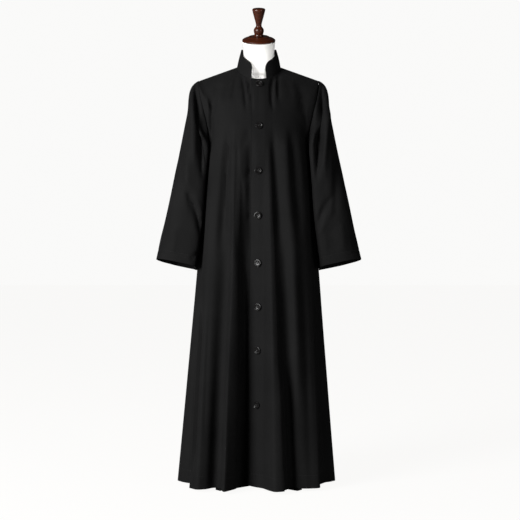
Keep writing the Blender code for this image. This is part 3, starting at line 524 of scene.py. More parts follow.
def placed(name, points, faces, surface, sharp=None, close=False):
    """A new smooth piece from points and faces; where asked, with its doubles merged, its open
    ends filled and its faces turned outwards."""
    mesh = bpy.data.meshes.new(name)
    mesh.from_pydata(points.reshape(-1, 3).tolist(), [], faces)
    if close:
        shaped = bmesh.new()
        shaped.from_mesh(mesh)
        bmesh.ops.remove_doubles(shaped, verts=shaped.verts, dist=DOUBLES)
        open_edges = [edge for edge in shaped.edges if edge.is_boundary]
        bmesh.ops.holes_fill(shaped, edges=open_edges)
        bmesh.ops.recalc_face_normals(shaped, faces=shaped.faces)
        shaped.to_mesh(mesh)
        shaped.free()
    mesh.materials.append(surface)
    mesh.shade_smooth()
    if sharp:
        mesh.set_sharp_from_angle(angle=math.radians(sharp))
    made = bpy.data.objects.new(name, mesh)
    bpy.context.scene.collection.objects.link(made)
    return made


def belongs(made, replaces=None):
    """Says what a piece rides on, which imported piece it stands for."""
    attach(made, "root")
    if replaces:
        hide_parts(replaces)


def cloth_wall(name, outer, inner, uv, surface, closed=False, sharp=48.0):
    """A closed wall of cloth between two grids of points, with its own map in metres."""
    rows, wide = outer.shape[:2]
    spots = np.arange(rows * wide).reshape(rows, wide)
    marks = np.arange(rows * (wide + closed)).reshape(rows, wide + closed)
    if closed:
        spots = np.concatenate([spots, spots[:, :1]], axis=1)
    faces, ends = wall_faces(spots, rows * wide)
    corners, corner_ends = wall_faces(marks, 0)
    if not closed:
        faces, corners = faces + ends, corners + corner_ends
    faces = np.concatenate(faces)
    corners = np.concatenate(corners)
    points = np.concatenate([outer.reshape(-1, 3), inner.reshape(-1, 3)])
    made = placed(name, points, faces.tolist(), surface, sharp)
    layer = made.data.uv_layers.new(name="cut")
    layer.data.foreach_set("uv", uv.reshape(-1, 2)[corners.ravel()].ravel())
    made.data.validate()
    return made


def cut_map(grid):
    """The cloth's own map: run across each row and down each column, in metres."""
    across = run_along(grid[len(grid) // 2])
    down = np.linalg.norm(np.diff(grid, axis=0), axis=2).mean(axis=1)
    down = np.concatenate([[0.0], np.cumsum(down)])
    return np.stack(np.broadcast_arrays(across[None, :], down[:, None]), axis=-1)


def cut_size(grid):
    """The widest row and the longest column of a cloth, and its area, in metres."""
    across = np.linalg.norm(np.diff(grid, axis=1), axis=2).sum(axis=1).max()
    down = np.linalg.norm(np.diff(grid, axis=0), axis=2).sum(axis=0).max()
    one = grid[1:, 1:] - grid[:-1, :-1]
    two = grid[1:, :-1] - grid[:-1, 1:]
    area = np.linalg.norm(np.cross(one, two), axis=2).sum() / 2
    return (round(float(across), 3), round(float(down), 3)), round(float(area), 3)


class Thread:
    """One socket of a material, with arithmetic that adds Math nodes."""

    def __init__(self, finish, socket):
        self.finish = finish
        self.socket = socket

    def math(self, operation, one, two=0.0):
        """A Math node on one or two values or threads."""
        return self.finish.node("ShaderNodeMath", {"operation": operation}, {0: one, 1: two})

    def __add__(self, other):
        return self.math("ADD", self, other)

    __radd__ = __add__

    def __sub__(self, other):
        return self.math("SUBTRACT", self, other)

    def __rsub__(self, other):
        return self.math("SUBTRACT", other, self)

    def __mul__(self, other):
        return self.math("MULTIPLY", self, other)

    __rmul__ = __mul__

    def __truediv__(self, other):
        return self.math("DIVIDE", self, other)

    def __pow__(self, other):
        return self.math("POWER", self, other)


class Finish:
    """One material: its nodes and the constant values of its main shader."""

    def __init__(self, name, **constant):
        self.material = bpy.data.materials.new(name)
        self.material.use_nodes = True
        self.nodes = self.material.node_tree.nodes
        self.links = self.material.node_tree.links
        self.shader = self.nodes["Principled BSDF"]
        for key, value in constant.items():
            self.shader.inputs[key.replace("_", " ")].default_value = value

    def node(self, kind, settings=None, values=None, output=0):
        """Any node: its settings first, then the values or threads of its sockets."""
        made = self.nodes.new(kind)
        for key, value in (settings or {}).items():
            setattr(made, key, value)
        for key, value in (values or {}).items():
            if isinstance(value, Thread):
                self.links.new(value.socket, made.inputs[key])
            else:
                made.inputs[key].default_value = value
        return Thread(self, made.outputs[output])

    def feed(self, name, thread):
        """Joins a thread to the main shader."""
        self.links.new(thread.socket, self.shader.inputs[name])

    def mix(self, factor, dark, light):
        """A colour between two colours."""
        colors = {0: factor, 6: dark, 7: light}
        return self.node("ShaderNodeMix", {"data_type": "RGBA"}, colors, output=2)

    def noise(self, place, scale, detail):
        """Soft uneven noise at a place."""
        values = {"Vector": place, "Scale": scale, "Detail": detail}
        return self.node("ShaderNodeTexNoise", None, values)

    def bump(self, height, distance, strength=1.0, under=None):
        """A Bump node over another one, or alone."""
        values = {"Height": height, "Distance": distance, "Strength": strength}
        if under is not None:
            values["Normal"] = under
        return self.node("ShaderNodeBump", None, values)


TWILL_PITCH = 0.0011
TWILL_DARK = (0.0062, 0.0062, 0.0064, 1.0)
TWILL_LIGHT = (0.0138, 0.0137, 0.0137, 1.0)
# Width of the painted shadow line along the over front's open edge
EDGE_SHADOW_WIDTH = 0.0032


def twill_finish(name, edge=False):
    """Black wool twill: slanting ribs, soft clouds of nap and a few pulled yarns; with edge, the over
    front's pressed edge gets a painted shadow line, 1 - (run from the edge / line)^2 darker, for the
    shade where it laps over the under front."""
    finish = Finish(
        name, Sheen_Weight=0.02, Sheen_Roughness=0.5, Specular_IOR_Level=0.08, IOR=1.45
    )
    finish.shader.inputs["Sheen Tint"].default_value = (0.9, 0.9, 0.92, 1.0)
    place = finish.node("ShaderNodeTexCoord", output=2)
    solid = finish.node("ShaderNodeTexCoord", output=3)
    across, down = (finish.node("ShaderNodeSeparateXYZ", None, {0: place}, k) for k in (0, 1))
    slant = (across + down * 1.6) * (2 * math.pi / TWILL_PITCH)
    rib = slant.math("SINE", slant) * 0.5 + 0.5
    stretched = finish.node("ShaderNodeMapping", None, {"Vector": place, "Scale": (60.0, 5.0, 1.0)})
    yarn = finish.noise(stretched, 9.0, 3.0)
    nap = finish.noise(solid, 7.0, 5.0)
    grain = finish.noise(solid, 520.0, 2.0)
    cloud = (nap * 1.7 - 0.35) * 0.7 + yarn * 0.2 + rib * 0.1
    if edge:
        # Painted shadow: the colour darkens toward the over front's open edge, for the shade of the
        # lap
        near = across.math("MINIMUM", across / EDGE_SHADOW_WIDTH, 1.0)
        cloud = cloud * near ** 2.0 - (1.0 - near) * 0.8
    finish.feed("Base Color", finish.mix(cloud, TWILL_DARK, TWILL_LIGHT))
    finish.feed("Roughness", nap * 0.16 + grain * 0.06 + 0.60)
    woven = finish.bump(rib, 0.00016, 0.55)
    fuzzy = finish.bump(grain * 0.6 + yarn * 0.4, 0.00030, 0.45, woven)
    rumpled = finish.bump(nap, 0.0035, 0.5, fuzzy)
    finish.feed("Normal", rumpled)
    return finish.material


black_twill = twill_finish("black_wool_twill")
# The over front's twill, with a painted shadow line along its open edge
edge_shaded_twill = twill_finish("black_wool_twill_over_front_edge_shade", edge=True)

folds = fold_table()
mark = folds["at"]


def panel_columns(first, last):
    """Places for the columns between two places round the hem, closer near both seams."""
    count = int(round((last - first) / COLUMN_STEP))
    t = np.linspace(0.0, 1.0, count + 1)
    tight = t - SEAM_CROWDING * np.sin(2 * np.pi * t) / (2 * np.pi)
    return first + (last - first) * tight


def over_lift(place):
    """How far the over front stands off the smooth front, where the under front lies behind it."""
    end = mark["left ridge foot"]
    start = mark["under edge"] + LAP_CLEAR
    down = 1 - ease((place - start) / (end - start))
    return (CLOTH + OVERLAP_GAP) * down


def seam_dip(places, depth=0.0011, half=0.0045, first=True, last=True):
    """How far the cloth dips into a pressed seam at its first and last columns."""
    dip = np.zeros(len(places))
    if first:
        dip += depth * np.exp(-((places - places[0]) / half) ** 2)
    if last:
        dip += depth * np.exp(-((places[-1] - places) / half) ** 2)
    return dip


panels = {}
for name, first, last in (
    ("back_right", "centre back seam", "right side"),
    ("front_right", "right side", "under edge"),
    ("front_left", "over edge", "left side"),
    ("back_left", "left side", "centre back seam again"),
):
    # The open edges of the two fronts have no seam to stand back from
    start = mark[first] + EDGE_GAP * (first != "over edge")
    end = mark[last] - EDGE_GAP * (last != "under edge")
    places = panel_columns(start, end)
    grid, inward = hung_cloth(places, folds, over_lift(places) if name == "front_left" else 0.0)
    panels[name] = {"places": places, "grid": grid, "inward": inward}

# ====================================================================
# Sleeves: wide tubes of the same twill with one underarm seam, set into the armholes, hanging
# flat against the body and widening to open cuffs.
# --------------------------------------------------------------------
SLEEVE_RINGS = (
    # name, outer z, inner z, outer x, inner x, front y, back y, dent
    ("upper arm", 1.25, 1.105, 0.2445, 0.158, -0.086, 0.08, 0.0205),
    ("above elbow", 1.13, 1.015, 0.27, 0.162, -0.086, 0.082, 0.0275),
    ("elbow", 1.0, 0.92, 0.2975, 0.168, -0.08, 0.08, 0.0305),
    ("forearm", 0.87, 0.825, 0.325, 0.178, -0.073, 0.074, 0.03),
    ("cuff", 0.762, 0.728, 0.348, 0.191, -0.066, 0.066, 0.026),
)
SLEEVE_POWER = 2.2
SLEEVE_FLATNESS = 4.0
CUFF_TILT = -0.12
# The way the cloth leaves the armhole (out, forward, up), and how it changes with |cos|, sin and
# cos of the place round the armhole and with how far that place is under the arm
CAP_WAY = (0.85, 0.0, -0.24)
CAP_WAY_CHANGES = ((0.1, 0.0, 0.0), (0.0, -0.5, 0.0), (0.0, 0.0, -0.13), (-0.82, 0.0, -1.05))
CAP_PULL = 0.36
ARM_PULL = 0.40
MOST_SLANT = 0.6
FOLD_IN, FOLD_PAST, FOLD_OUT = 0.25, 1.12, 0.3
CAP_ROWS = 34
SLEEVE_ROWS = 84
SLEEVE_COLUMNS = 104

# Creases of the sleeves as seen from the front, as the body's are given
RIGHT_SLEEVE_CREASES = (
    # name, x, z, end x, end z, bow, half width, height
    ("armhole fold", -0.211, 1.4, -0.184, 1.0, 0.002, 0.011, -0.026),
    ("armhole ridge", -0.203, 1.32, -0.175, 1.125, 0.001, 0.0055, 0.005),
    ("underarm fold", -0.188, 1.27, -0.17, 1.06, 0.002, 0.006, -0.012),
    ("upper arm ridge", -0.226, 1.33, -0.208, 1.05, -0.004, 0.012, 0.0045),
    ("arm valley", -0.26, 1.18, -0.268, 0.93, 0.004, 0.015, -0.0045),
    ("arm ridge", -0.24, 1.12, -0.236, 0.94, 0.0, 0.013, 0.0035),
    ("elbow fold", -0.256, 1.02, -0.185, 0.82, 0.012, 0.012, -0.013),
    ("elbow ridge", -0.233, 0.985, -0.186, 0.872, 0.01, 0.009, 0.004),
    ("forearm fold", -0.23, 0.758, -0.185, 0.792, 0.002, 0.008, -0.0035),
    ("forearm valley", -0.308, 0.9, -0.32, 0.78, 0.0, 0.01, -0.003),
    ("forearm ridge", -0.276, 0.88, -0.29, 0.77, 0.0, 0.011, 0.003),
)
LEFT_SLEEVE_CREASES = (
    # name, x, z, end x, end z, bow, half width, height
    ("armhole valley", 0.211, 1.385, 0.192, 1.0, -0.003, 0.01, -0.027),
    ("armhole ridge", 0.202, 1.3, 0.178, 1.13, -0.002, 0.0045, 0.006),
    ("arm fold", 0.229, 1.35, 0.206, 1.06, -0.005, 0.008, -0.014),
    ("arm ridge", 0.244, 1.31, 0.217, 1.0, -0.01, 0.011, 0.009),
    ("arm valley", 0.264, 1.22, 0.25, 0.86, 0.004, 0.015, -0.0075),
    ("elbow fold", 0.248, 0.98, 0.19, 0.85, -0.008, 0.01, -0.008),
    ("elbow ridge", 0.252, 0.94, 0.2, 0.83, -0.006, 0.01, 0.0035),
    ("forearm valley", 0.24, 0.88, 0.244, 0.77, 0.0, 0.011, -0.004),
    ("forearm ridge", 0.274, 0.9, 0.286, 0.77, 0.0, 0.012, 0.0035),
    ("cuff fold", 0.318, 0.86, 0.326, 0.78, 0.0, 0.009, -0.0028),
)
# Long folds on the outer and back sides of both sleeves: degrees round the sleeve from the
# shoulder tip by the front, and how far down it from 0 at the armhole to 1 at the cuff
SLEEVE_FOLDS = (
    # name, round, down, end round, end down, half width in degrees, height
    ("outer valley", 12.0, 0.18, 4.0, 0.82, 9.0, -0.005),
    ("outer ridge", 338.0, 0.1, 330.0, 0.95, 10.0, 0.005),
    ("outer back valley", 312.0, 0.16, 300.0, 1.05, 9.0, -0.0065),
    ("back ridge", 284.0, 0.2, 276.0, 1.05, 10.0, 0.005),
    ("back valley", 262.0, 0.12, 250.0, 0.9, 8.0, -0.007),
    ("back elbow fold", 236.0, 0.62, 316.0, 0.5, 6.0, -0.005),
    ("underarm back fold", 232.0, 0.05, 222.0, 0.45, 7.0, -0.006),
)


def sleeve_ring(row, turn):
    """One level ring of the left sleeve, flattened on the side that hangs against the body."""
    _, outer_z, inner_z, outer_x, inner_x, front_y, back_y, dent = row
    angle = np.radians(turn)
    cosine, sine = np.cos(angle), np.sin(angle)
    power = 2 / SLEEVE_POWER
    middle = (outer_x + inner_x) / 2
    half = (outer_x - inner_x) / 2
    middle_y = (front_y + back_y) / 2
    depth = (back_y - front_y) / 2
    flat_side = -np.abs(cosine) ** (2 / SLEEVE_FLATNESS)
    level = np.where(cosine < 0, flat_side, np.abs(cosine) ** power)
    x = middle + half * level + dent * np.clip(-cosine, 0, 1) ** 4
    y = middle_y - depth * np.sign(sine) * np.abs(sine) ** power
    z = inner_z + (outer_z - inner_z) * (level + 1) / 2
    return np.stack([x, y, z], axis=-1)


def sleeve(turn):
    """The outer face of the left sleeve: a cubic curve from the armhole to the upper arm ring,
    then straight runs through the rings to the cuff, rounded off where the runs meet."""
    top = armhole(turn)
    angle = np.radians(turn)
    under = np.clip(-np.cos(angle), 0, 1)
    turns = np.stack([np.abs(np.cos(angle)), np.sin(angle), np.cos(angle), under], axis=-1)
    leave = unit(np.array(CAP_WAY) + turns @ np.array(CAP_WAY_CHANGES))
    rings = np.array([sleeve_ring(row, turn) for row in SLEEVE_RINGS])
    rings[-1, :, 2] += CUFF_TILT * rings[-1, :, 1]
    rings[-2, :, 2] += 0.5 * CUFF_TILT * rings[-2, :, 1]
    spots = np.linspace(0.0, 1.0, len(SLEEVE_RINGS))
    slopes = np.gradient(rings, spots, axis=0)
    length = np.linalg.norm(rings[0] - top, axis=1)[:, None]
    start, end = top + leave * length * CAP_PULL, rings[0] - unit(slopes[0]) * length * ARM_PULL
    grid = cubic_run((top, start, end, rings[0]), CAP_ROWS)
    for t in np.linspace(0.0, 1.0, SLEEVE_ROWS + 1)[1:]:
        spot = min(int(t * (len(spots) - 1)), len(spots) - 2)
        gap = spots[spot + 1] - spots[spot]
        part = (t - spots[spot]) / gap
        ends = rings[spot], rings[spot + 1], slopes[spot], slopes[spot + 1]
        grid.append(hermite(*ends, gap, part))
    grid = np.array(grid)
    return grid, facing(grid, closed=True)


def folded(turn, rows, folds_down):
    """How far each point of a sleeve stands out for its long folds, as a crease's height is."""
    down = np.linspace(0.0, 1.0, rows)[:, None]
    raised = np.zeros((rows, len(turn)))
    for _, turn_one, down_one, turn_two, down_two, half_width, height in folds_down:
        along = (down - down_one) / (down_two - down_one)
        centre = turn_one + (turn_two - turn_one) * along
        across = (turn[None, :] - centre + 180.0) % 360.0 - 180.0
        fade = ease(along / FOLD_IN) * ease((FOLD_PAST - along) / FOLD_OUT)
        raised += height * fade * np.exp(-(across / half_width) ** 2)
    return raised


def periodic(turn, turns, values):
    """Values given round a loop, read between its places."""
    return np.stack([np.interp(turn, turns, values[:, k], period=360.0) for k in range(3)], axis=-1)


def set_in(front, back, flip):
    """Sews a sleeve to its two panels: one shared slant for both walls, a hair apart."""
    arms = []
    for name in (front, back):
        panel = panels[name]
        chest = np.abs(skirt(panel["places"], folds)[0])
        at = np.flatnonzero((chest > FRONT_TIP - 0.01) & (chest < BACK_TIP + 0.01))
        arms.append((name, at, armhole_turn(chest[at]) % 360.0))
    arm_turns = np.concatenate([turns for _, _, turns in arms])
    body_in = np.concatenate([panels[name]["inward"][0, at] for name, at, _ in arms])
    turn = np.arange(SLEEVE_COLUMNS) * 360.0 / SLEEVE_COLUMNS
    grid, inward = sleeve(turn)
    grid, inward = grid * flip, inward * flip
    rim = grid[0].copy()
    along = unit(np.roll(rim, -1, axis=0) - np.roll(rim, 1, axis=0))
    slant = unit(periodic(turn, arm_turns, body_in) + inward[0])
    slant = unit(slant - along * np.sum(slant * along, axis=1, keepdims=True))
    across = unit(np.cross(along, slant))
    across = np.where(across[:, :1] * flip[0] < 0, -across, across)
    longer = 1 / np.clip(np.sum(slant * inward[0], axis=1, keepdims=True), MOST_SLANT, 1.0)
    grid[0] = rim + across * SEAM
    inward[0] = slant * longer
    for name, at, turns in arms:
        panels[name]["grid"][0, at] -= periodic(turns, turn, across) * SEAM
        panels[name]["inward"][0, at] = periodic(turns, turn, slant * longer)
    return turn, grid, inward


# The pressed seam at the top of a cloth: how deep it lies and its half width
SEAM_DEPTH = 0.0009
SEAM_HALF = 0.0045


def pressed_top(grid, inward):
    """The cloth beside its top seam, pressed into it by depth * exp(-(run / half)^2)."""
    run = np.cumsum(np.linalg.norm(np.diff(grid, axis=0), axis=2), axis=0)
    run = np.concatenate([np.zeros((1, run.shape[1])), run])
    dip = SEAM_DEPTH * np.exp(-(run / SEAM_HALF) ** 2)
    return grid + inward * dip[..., None], run


def hem_groove(grid, inward, height, edge_run, half=0.0022, depth=0.0008):
    """The shallow groove that the stitched hem draws in the cloth, at a run above its edge."""
    return grid + inward * (depth * np.exp(-((edge_run - height) / half) ** 2))[..., None]


def run_above(grid):
    """How far each point is above the lower edge, along its column."""
    steps = np.linalg.norm(np.diff(grid, axis=0), axis=2)[::-1]
    run = np.cumsum(steps, axis=0)[::-1]
    return np.concatenate([run, np.zeros((1, run.shape[1]))])


# Hems are turned up this far and stitched there; stitches are set a step apart
HEM_DEPTH = 0.042
CUFF_DEPTH = 0.030
STITCH_STEP = 0.0034
STITCH_LONG = 0.0024
STITCH_HALF = 0.00022
STITCH_PROUD = 0.6
WRINKLE_WAVES = 7
WRINKLE_TIGHTNESS = (26.0, 26.0, 11.0)
WRINKLE_SIZE = 0.0007


def rumple(grid, seed, size=WRINKLE_SIZE):
    """Small uneven swells of worn cloth: a few slow waves of seeded direction, added up."""
    draw = np.random.default_rng(seed)
    raised = np.zeros(grid.shape[:2])
    for _ in range(WRINKLE_WAVES):
        wave = draw.normal(0.0, 1.0, 3) * np.array(WRINKLE_TIGHTNESS)
        raised += np.sin(grid @ wave + draw.uniform(0.0, 2 * np.pi))
    return raised * size / math.sqrt(WRINKLE_WAVES)


def stitched(name, grid, inward, height, surface, closed=False):
    """A row of small stitches at a run above the edge: four-sided spindles half sunk in cloth."""
    run = run_above(grid)
    places, ways = [], []
    for column in range(grid.shape[1]):
        upward = run[::-1, column]
        places.append(read(height, upward, grid[::-1, column]))
        ways.append(read(height, upward, -inward[::-1, column]))
    places, ways = np.array(places), np.array(ways)
    if closed:
        places, ways = np.vstack([places, places[:1]]), np.vstack([ways, ways[:1]])
    along = run_along(places)
    centres = np.arange(STITCH_STEP, along[-1] - STITCH_STEP, STITCH_STEP)
    start = read(centres - STITCH_LONG / 2, along, places)
    end = read(centres + STITCH_LONG / 2, along, places)
    out = unit(read(centres, along, ways))
    side = unit(np.cross(end - start, out))
    middle = (start + end) / 2 + out * STITCH_HALF * STITCH_PROUD
    points = np.stack([
        start, end,
        middle + out * STITCH_HALF, middle + side * STITCH_HALF,
        middle - out * STITCH_HALF, middle - side * STITCH_HALF,
    ], axis=1)
    near_end = [(0, 3, 2), (0, 4, 3), (0, 5, 4), (0, 2, 5)]
    far_end = [(1, 2, 3), (1, 3, 4), (1, 4, 5), (1, 5, 2)]
    faces = np.array(near_end + far_end)[None] + 6 * np.arange(len(centres))[:, None, None]
    belongs(placed(name, points, faces.reshape(-1, 3).tolist(), surface))


def thread_finish():
    """Black waxed cotton, its twist drawn as slanting rings."""
    finish = Finish("black_thread", Sheen_Weight=0.15, Sheen_Roughness=0.4)
    solid = finish.node("ShaderNodeTexCoord", output=3)
    twist = finish.node(
        "ShaderNodeTexWave", {"bands_direction": "DIAGONAL"}, {"Vector": solid, "Scale": 900.0}, 1
    )
    finish.feed("Base Color", finish.mix(twist, (0.008, 0.008, 0.008, 1), (0.03, 0.03, 0.031, 1)))
    finish.feed("Roughness", twist * 0.2 + 0.5)
    finish.feed("Normal", finish.bump(twist, 0.00006, 0.6))
    return finish.material


# How far from its seams a cloth starts to crease, how far down a sleeve starts to lean toward
# the body, and the share of the lean that it has there
SLEEVE_TOP_CLEAR = 0.020
PANEL_TOP_CLEAR = 0.014
SIDE_SEAM_CLEAR = 0.012
LEAN_START = 0.12
LEAN_SHARE = 0.6

black_thread = thread_finish()
for name, front, back, flip, lean, creases, seed in (
    ("sleeve_left", "front_left", "back_left", (1, 1, 1), -0.005, LEFT_SLEEVE_CREASES, 21),
    ("sleeve_right", "front_right", "back_right", (-1, 1, 1), 0.0, RIGHT_SLEEVE_CREASES, 22),
):
    turn, grid, inward = set_in(front, back, np.array(flip, float))
    body_side = np.clip(-np.cos(np.radians(turn)), 0, 1) ** 2
    down = np.linspace(0.0, 1.0, len(grid))[:, None]
    leaned = ease(down / LEAN_START) * (LEAN_SHARE + (1 - LEAN_SHARE) * ease(down))
    grid[..., 0] += lean * leaned * body_side
    grid, run = pressed_top(grid, inward)
    raised = creased(grid, -inward, creases, True) + folded(turn, len(grid), SLEEVE_FOLDS)
    raised = (raised + rumple(grid, seed)) * ease(run / SLEEVE_TOP_CLEAR)
    grid = grid - inward * raised[..., None]
    lower = run_above(grid)
    grid = hem_groove(grid, inward, CUFF_DEPTH, lower)
    inner = grid + inward * CLOTH
    opened = np.concatenate([grid, grid[:, :1]], axis=1)
    made = cloth_wall(f"{name}_cloth", grid, inner, cut_map(opened), black_twill, closed=True)
    belongs(made, name)
    flat, area = cut_size(opened)
    stitched(f"{name}_hem_stitches", grid, inward, CUFF_DEPTH, black_thread, closed=True)

for name, panel in panels.items():
    grid, inward, places = panel["grid"], panel["inward"], panel["places"]
    grid, run = pressed_top(grid, inward)
    front = name.startswith("front")
    raised = creased(grid, -inward, FRONT_CREASES if front else BACK_CREASES, front)
    first, last = name != "front_left", name != "front_right"
    near = np.minimum(
        places - places[0] if first else np.inf, places[-1] - places if last else np.inf
    )
    raised = (raised + rumple(grid, 5)) * ease(run / PANEL_TOP_CLEAR)
    raised = raised * ease(near / SIDE_SEAM_CLEAR)[None, :]
    dip = seam_dip(places, first=first, last=last)
    grid = grid - inward * (raised - dip[None, :])[..., None]
    grid = hem_groove(grid, inward, HEM_DEPTH, run_above(grid))
    inner = grid + inward * CLOTH
    # The over front gets the twill with the painted shadow line along its open edge
    surface = edge_shaded_twill if name == "front_left" else black_twill
    made = cloth_wall(f"{name}_cloth", grid, inner, cut_map(grid), surface)
    belongs(made, name)
    flat, area = cut_size(grid)
    stitched(f"{name}_hem_stitches", grid, inward, HEM_DEPTH, black_thread)

# ====================================================================
# Standing collar: one stiff band of twill sewn to the neckline, open at the throat, its two
# front ends rounded off.
# --------------------------------------------------------------------
COLLAR_HEIGHT = 0.0555
COLLAR_END = 20.0
COLLAR_CORNER = 0.024
COLLAR_TOP_HALF = 0.0602
COLLAR_TOP_FRONT = 0.074
COLLAR_TOP_BACK = 0.046
COLLAR_TOP_Y = 0.010
COLLAR_ROWS = 20
COLLAR_COLUMNS = 170
COLLAR_SWELL = 0.0009
COLLAR_WRINKLE = 0.0004
COLLAR_CROWDING = 0.6
COLLAR_EDGE_CLEAR = 0.15


def collar(turn, levels):
    """The outer face of the collar: straight lines from the neckline (level 0) to the top edge
    (level 1), whose corners drop on a quarter circle."""
    angle = np.radians(turn)
    bottom = neckline(turn) - np.array([0.0, 0.0, SEAM])
    depth = np.where(np.cos(angle) > 0, COLLAR_TOP_FRONT, COLLAR_TOP_BACK)
    top = np.stack([
        COLLAR_TOP_HALF * np.sin(angle),
        COLLAR_TOP_Y - depth * np.cos(angle),
        bottom[:, 2] + COLLAR_HEIGHT,
    ], axis=-1)
    run = run_along(bottom)
    near = np.minimum(run, run[-1] - run)
    corner = np.clip(1 - near / COLLAR_CORNER, 0, 1)
    drop = COLLAR_CORNER * (1 - np.sqrt(1 - corner ** 2)) / COLLAR_HEIGHT
    level = np.asarray(levels)[:, None] * (1 - drop)[None, :]
    return bottom + (top - bottom) * level[..., None]


t = np.linspace(0.0, 1.0, COLLAR_COLUMNS + 1)
tight = t - COLLAR_CROWDING * np.sin(2 * np.pi * t) / (2 * np.pi)
neck_turns = COLLAR_END + (360.0 - 2 * COLLAR_END) * tight
levels = np.linspace(1.0, 0.0, COLLAR_ROWS + 1)
band = collar(neck_turns, levels)
band_inward = -facing(band)
band_inward[-1] = neck_inward(neck_turns)
swell = COLLAR_SWELL * np.sin(np.pi * levels)[:, None] + rumple(band, 9, COLLAR_WRINKLE)
swell = swell * ease(np.minimum(levels, 1 - levels) / COLLAR_EDGE_CLEAR)[:, None]
band = band - band_inward * swell[..., None]
made = cloth_wall("collar_cloth", band, band + band_inward * CLOTH, cut_map(band), black_twill)
belongs(made, "collar")
flat, area = cut_size(band)

# ====================================================================
# Buttons: eight turned black discs with a raised rim and a dished middle, sewn through four
# holes with black thread on the edge of the over front.
# --------------------------------------------------------------------
BUTTONS = (
    # across, height
    (0.0021, 1.345), (0.0008, 1.203), (-0.0015, 1.0546), (-0.0025, 0.9068), (-0.0028, 0.7498),
    (-0.0025, 0.605), (-0.0041, 0.462), (-0.0071, 0.2825),
)
BUTTON_PROFILE = (
    # radius, height above the back
    (0.0, 0.0), (0.01, 0.0), (0.0114, 0.0005), (0.0121, 0.0016), (0.0119, 0.0029), (0.011, 0.0036),
    (0.0098, 0.0037), (0.0088, 0.0033), (0.0079, 0.0024), (0.0066, 0.0019), (0.004, 0.0018),
    (0.0, 0.0018),
)
BUTTON_RINGS = 56
BUTTON_SIDES = 64
HOLE_RADIUS = 0.00095
HOLE_OUT = 0.0021
HOLE_DEPTH = 0.0014
BACK_THICK = 0.001
THREAD_RADIUS = 0.00036
THREAD_APART = 0.0003
THREAD_RISE = 0.0009
THREAD_SINK = 0.0006
THREAD_SEAT = 0.0019


def frame_on(axis):
    """Two level directions square to an axis: to the left and up the front."""
    axis = unit(np.array(axis, float))
    one = unit(np.cross(np.array([0.0, 0.0, 1.0]), axis) if abs(axis[2]) < 0.9
               else np.array([1.0, 0.0, 0.0]))
    return axis, one, np.cross(axis, one)


def tube_faces(rings, sides, first=0):
    """The four-sided faces between rings of points that are numbered from the first."""
    spots = first + np.arange(rings * sides).reshape(rings, sides)
    spots = np.concatenate([spots, spots[:, :1]], axis=1)
    a, b, c, d = spots[:-1, :-1], spots[:-1, 1:], spots[1:, 1:], spots[1:, :-1]
    return np.stack([a, b, c, d], axis=-1).reshape(-1, 4).tolist()


def turned(name, profile, rings, sides, surface, origin, axis, dents=None, sharp=40.0):
    """A turned solid: a smooth profile of radius and height carried round an axis."""
    rows = np.array(profile)
    run = run_along(rows)
    at = np.unique(np.concatenate([np.linspace(0.0, run[-1], rings), run]))
    radius = np.clip(through(run, rows[:, 0], at), 0.0, None)
    height = through(run, rows[:, 1], at)
    axis, one, two = frame_on(axis)
    angle = np.arange(sides) * 2 * np.pi / sides
    ring = np.cos(angle)[:, None] * one + np.sin(angle)[:, None] * two
    flat = radius[:, None, None] * ring[None]
    lift = np.repeat(height[:, None], sides, axis=1)
    if dents is not None:
        lift = lift - dents(radius[:, None] * np.cos(angle), radius[:, None] * np.sin(angle), lift)
    points = flat + lift[..., None] * axis + np.array(origin, float)
    return placed(name, points, tube_faces(len(at), sides), surface, sharp, close=True)


def button_holes(across, up, lift):
    """Four round pits, 1 / (1 + (distance / radius)^8), in the front of the button only."""
    dent = np.zeros(lift.shape)
    for x in (-HOLE_OUT, HOLE_OUT):
        for y in (-HOLE_OUT, HOLE_OUT):
            distance = np.hypot(across - x, up - y)
            dent += HOLE_DEPTH / (1 + (distance / HOLE_RADIUS) ** 8)
    return np.where(lift > BACK_THICK, dent, 0.0)


def sewing(name, centre, axis, surface):
    """Two crossed pairs of thread over a button: round threads on low arches between holes."""
    axis, one, two = frame_on(axis)
    t = np.linspace(0.0, 1.0, 13)
    angle = np.arange(8) * np.pi / 4
    points, faces = [], []
    for turn in (0.25, 0.75):
        way = math.cos(turn * math.pi) * one + math.sin(turn * math.pi) * two
        side = np.cross(axis, way)
        for shift in (-THREAD_APART, THREAD_APART):
            span = HOLE_OUT * math.sqrt(2) * 2
            arch = THREAD_RISE * (1 - (2 * t - 1) ** 4) - THREAD_SINK
            path = centre + (t - 0.5)[:, None] * span * way + arch[:, None] * axis + shift * side
            tube = path[:, None] + THREAD_RADIUS * (
                np.cos(angle)[None, :, None] * side + np.sin(angle)[None, :, None] * axis
            )
            faces += tube_faces(len(t), 8, sum(len(tube) for tube in points))
            points.append(tube.reshape(-1, 3))
    return placed(name, np.concatenate(points), faces, surface, 50.0, close=True)


def button_finish():
    """Polished black resin with faint swirls and worn-soft gloss."""
    finish = Finish("black_button", IOR=1.5, Coat_Roughness=0.06, Specular_IOR_Level=0.20)
    solid = finish.node("ShaderNodeTexCoord", output=3)
    swirl = finish.noise(solid, 260.0, 4.0)
    finish.feed("Base Color", finish.mix(swirl, (0.004, 0.004, 0.004, 1), (0.014, 0.013, 0.013, 1)))
    finish.feed("Roughness", swirl * 0.10 + 0.12)
    finish.feed("Coat Weight", swirl * 0.1 + 0.05)
    finish.feed("Normal", finish.bump(swirl, 0.00004, 0.3))
    return finish.material


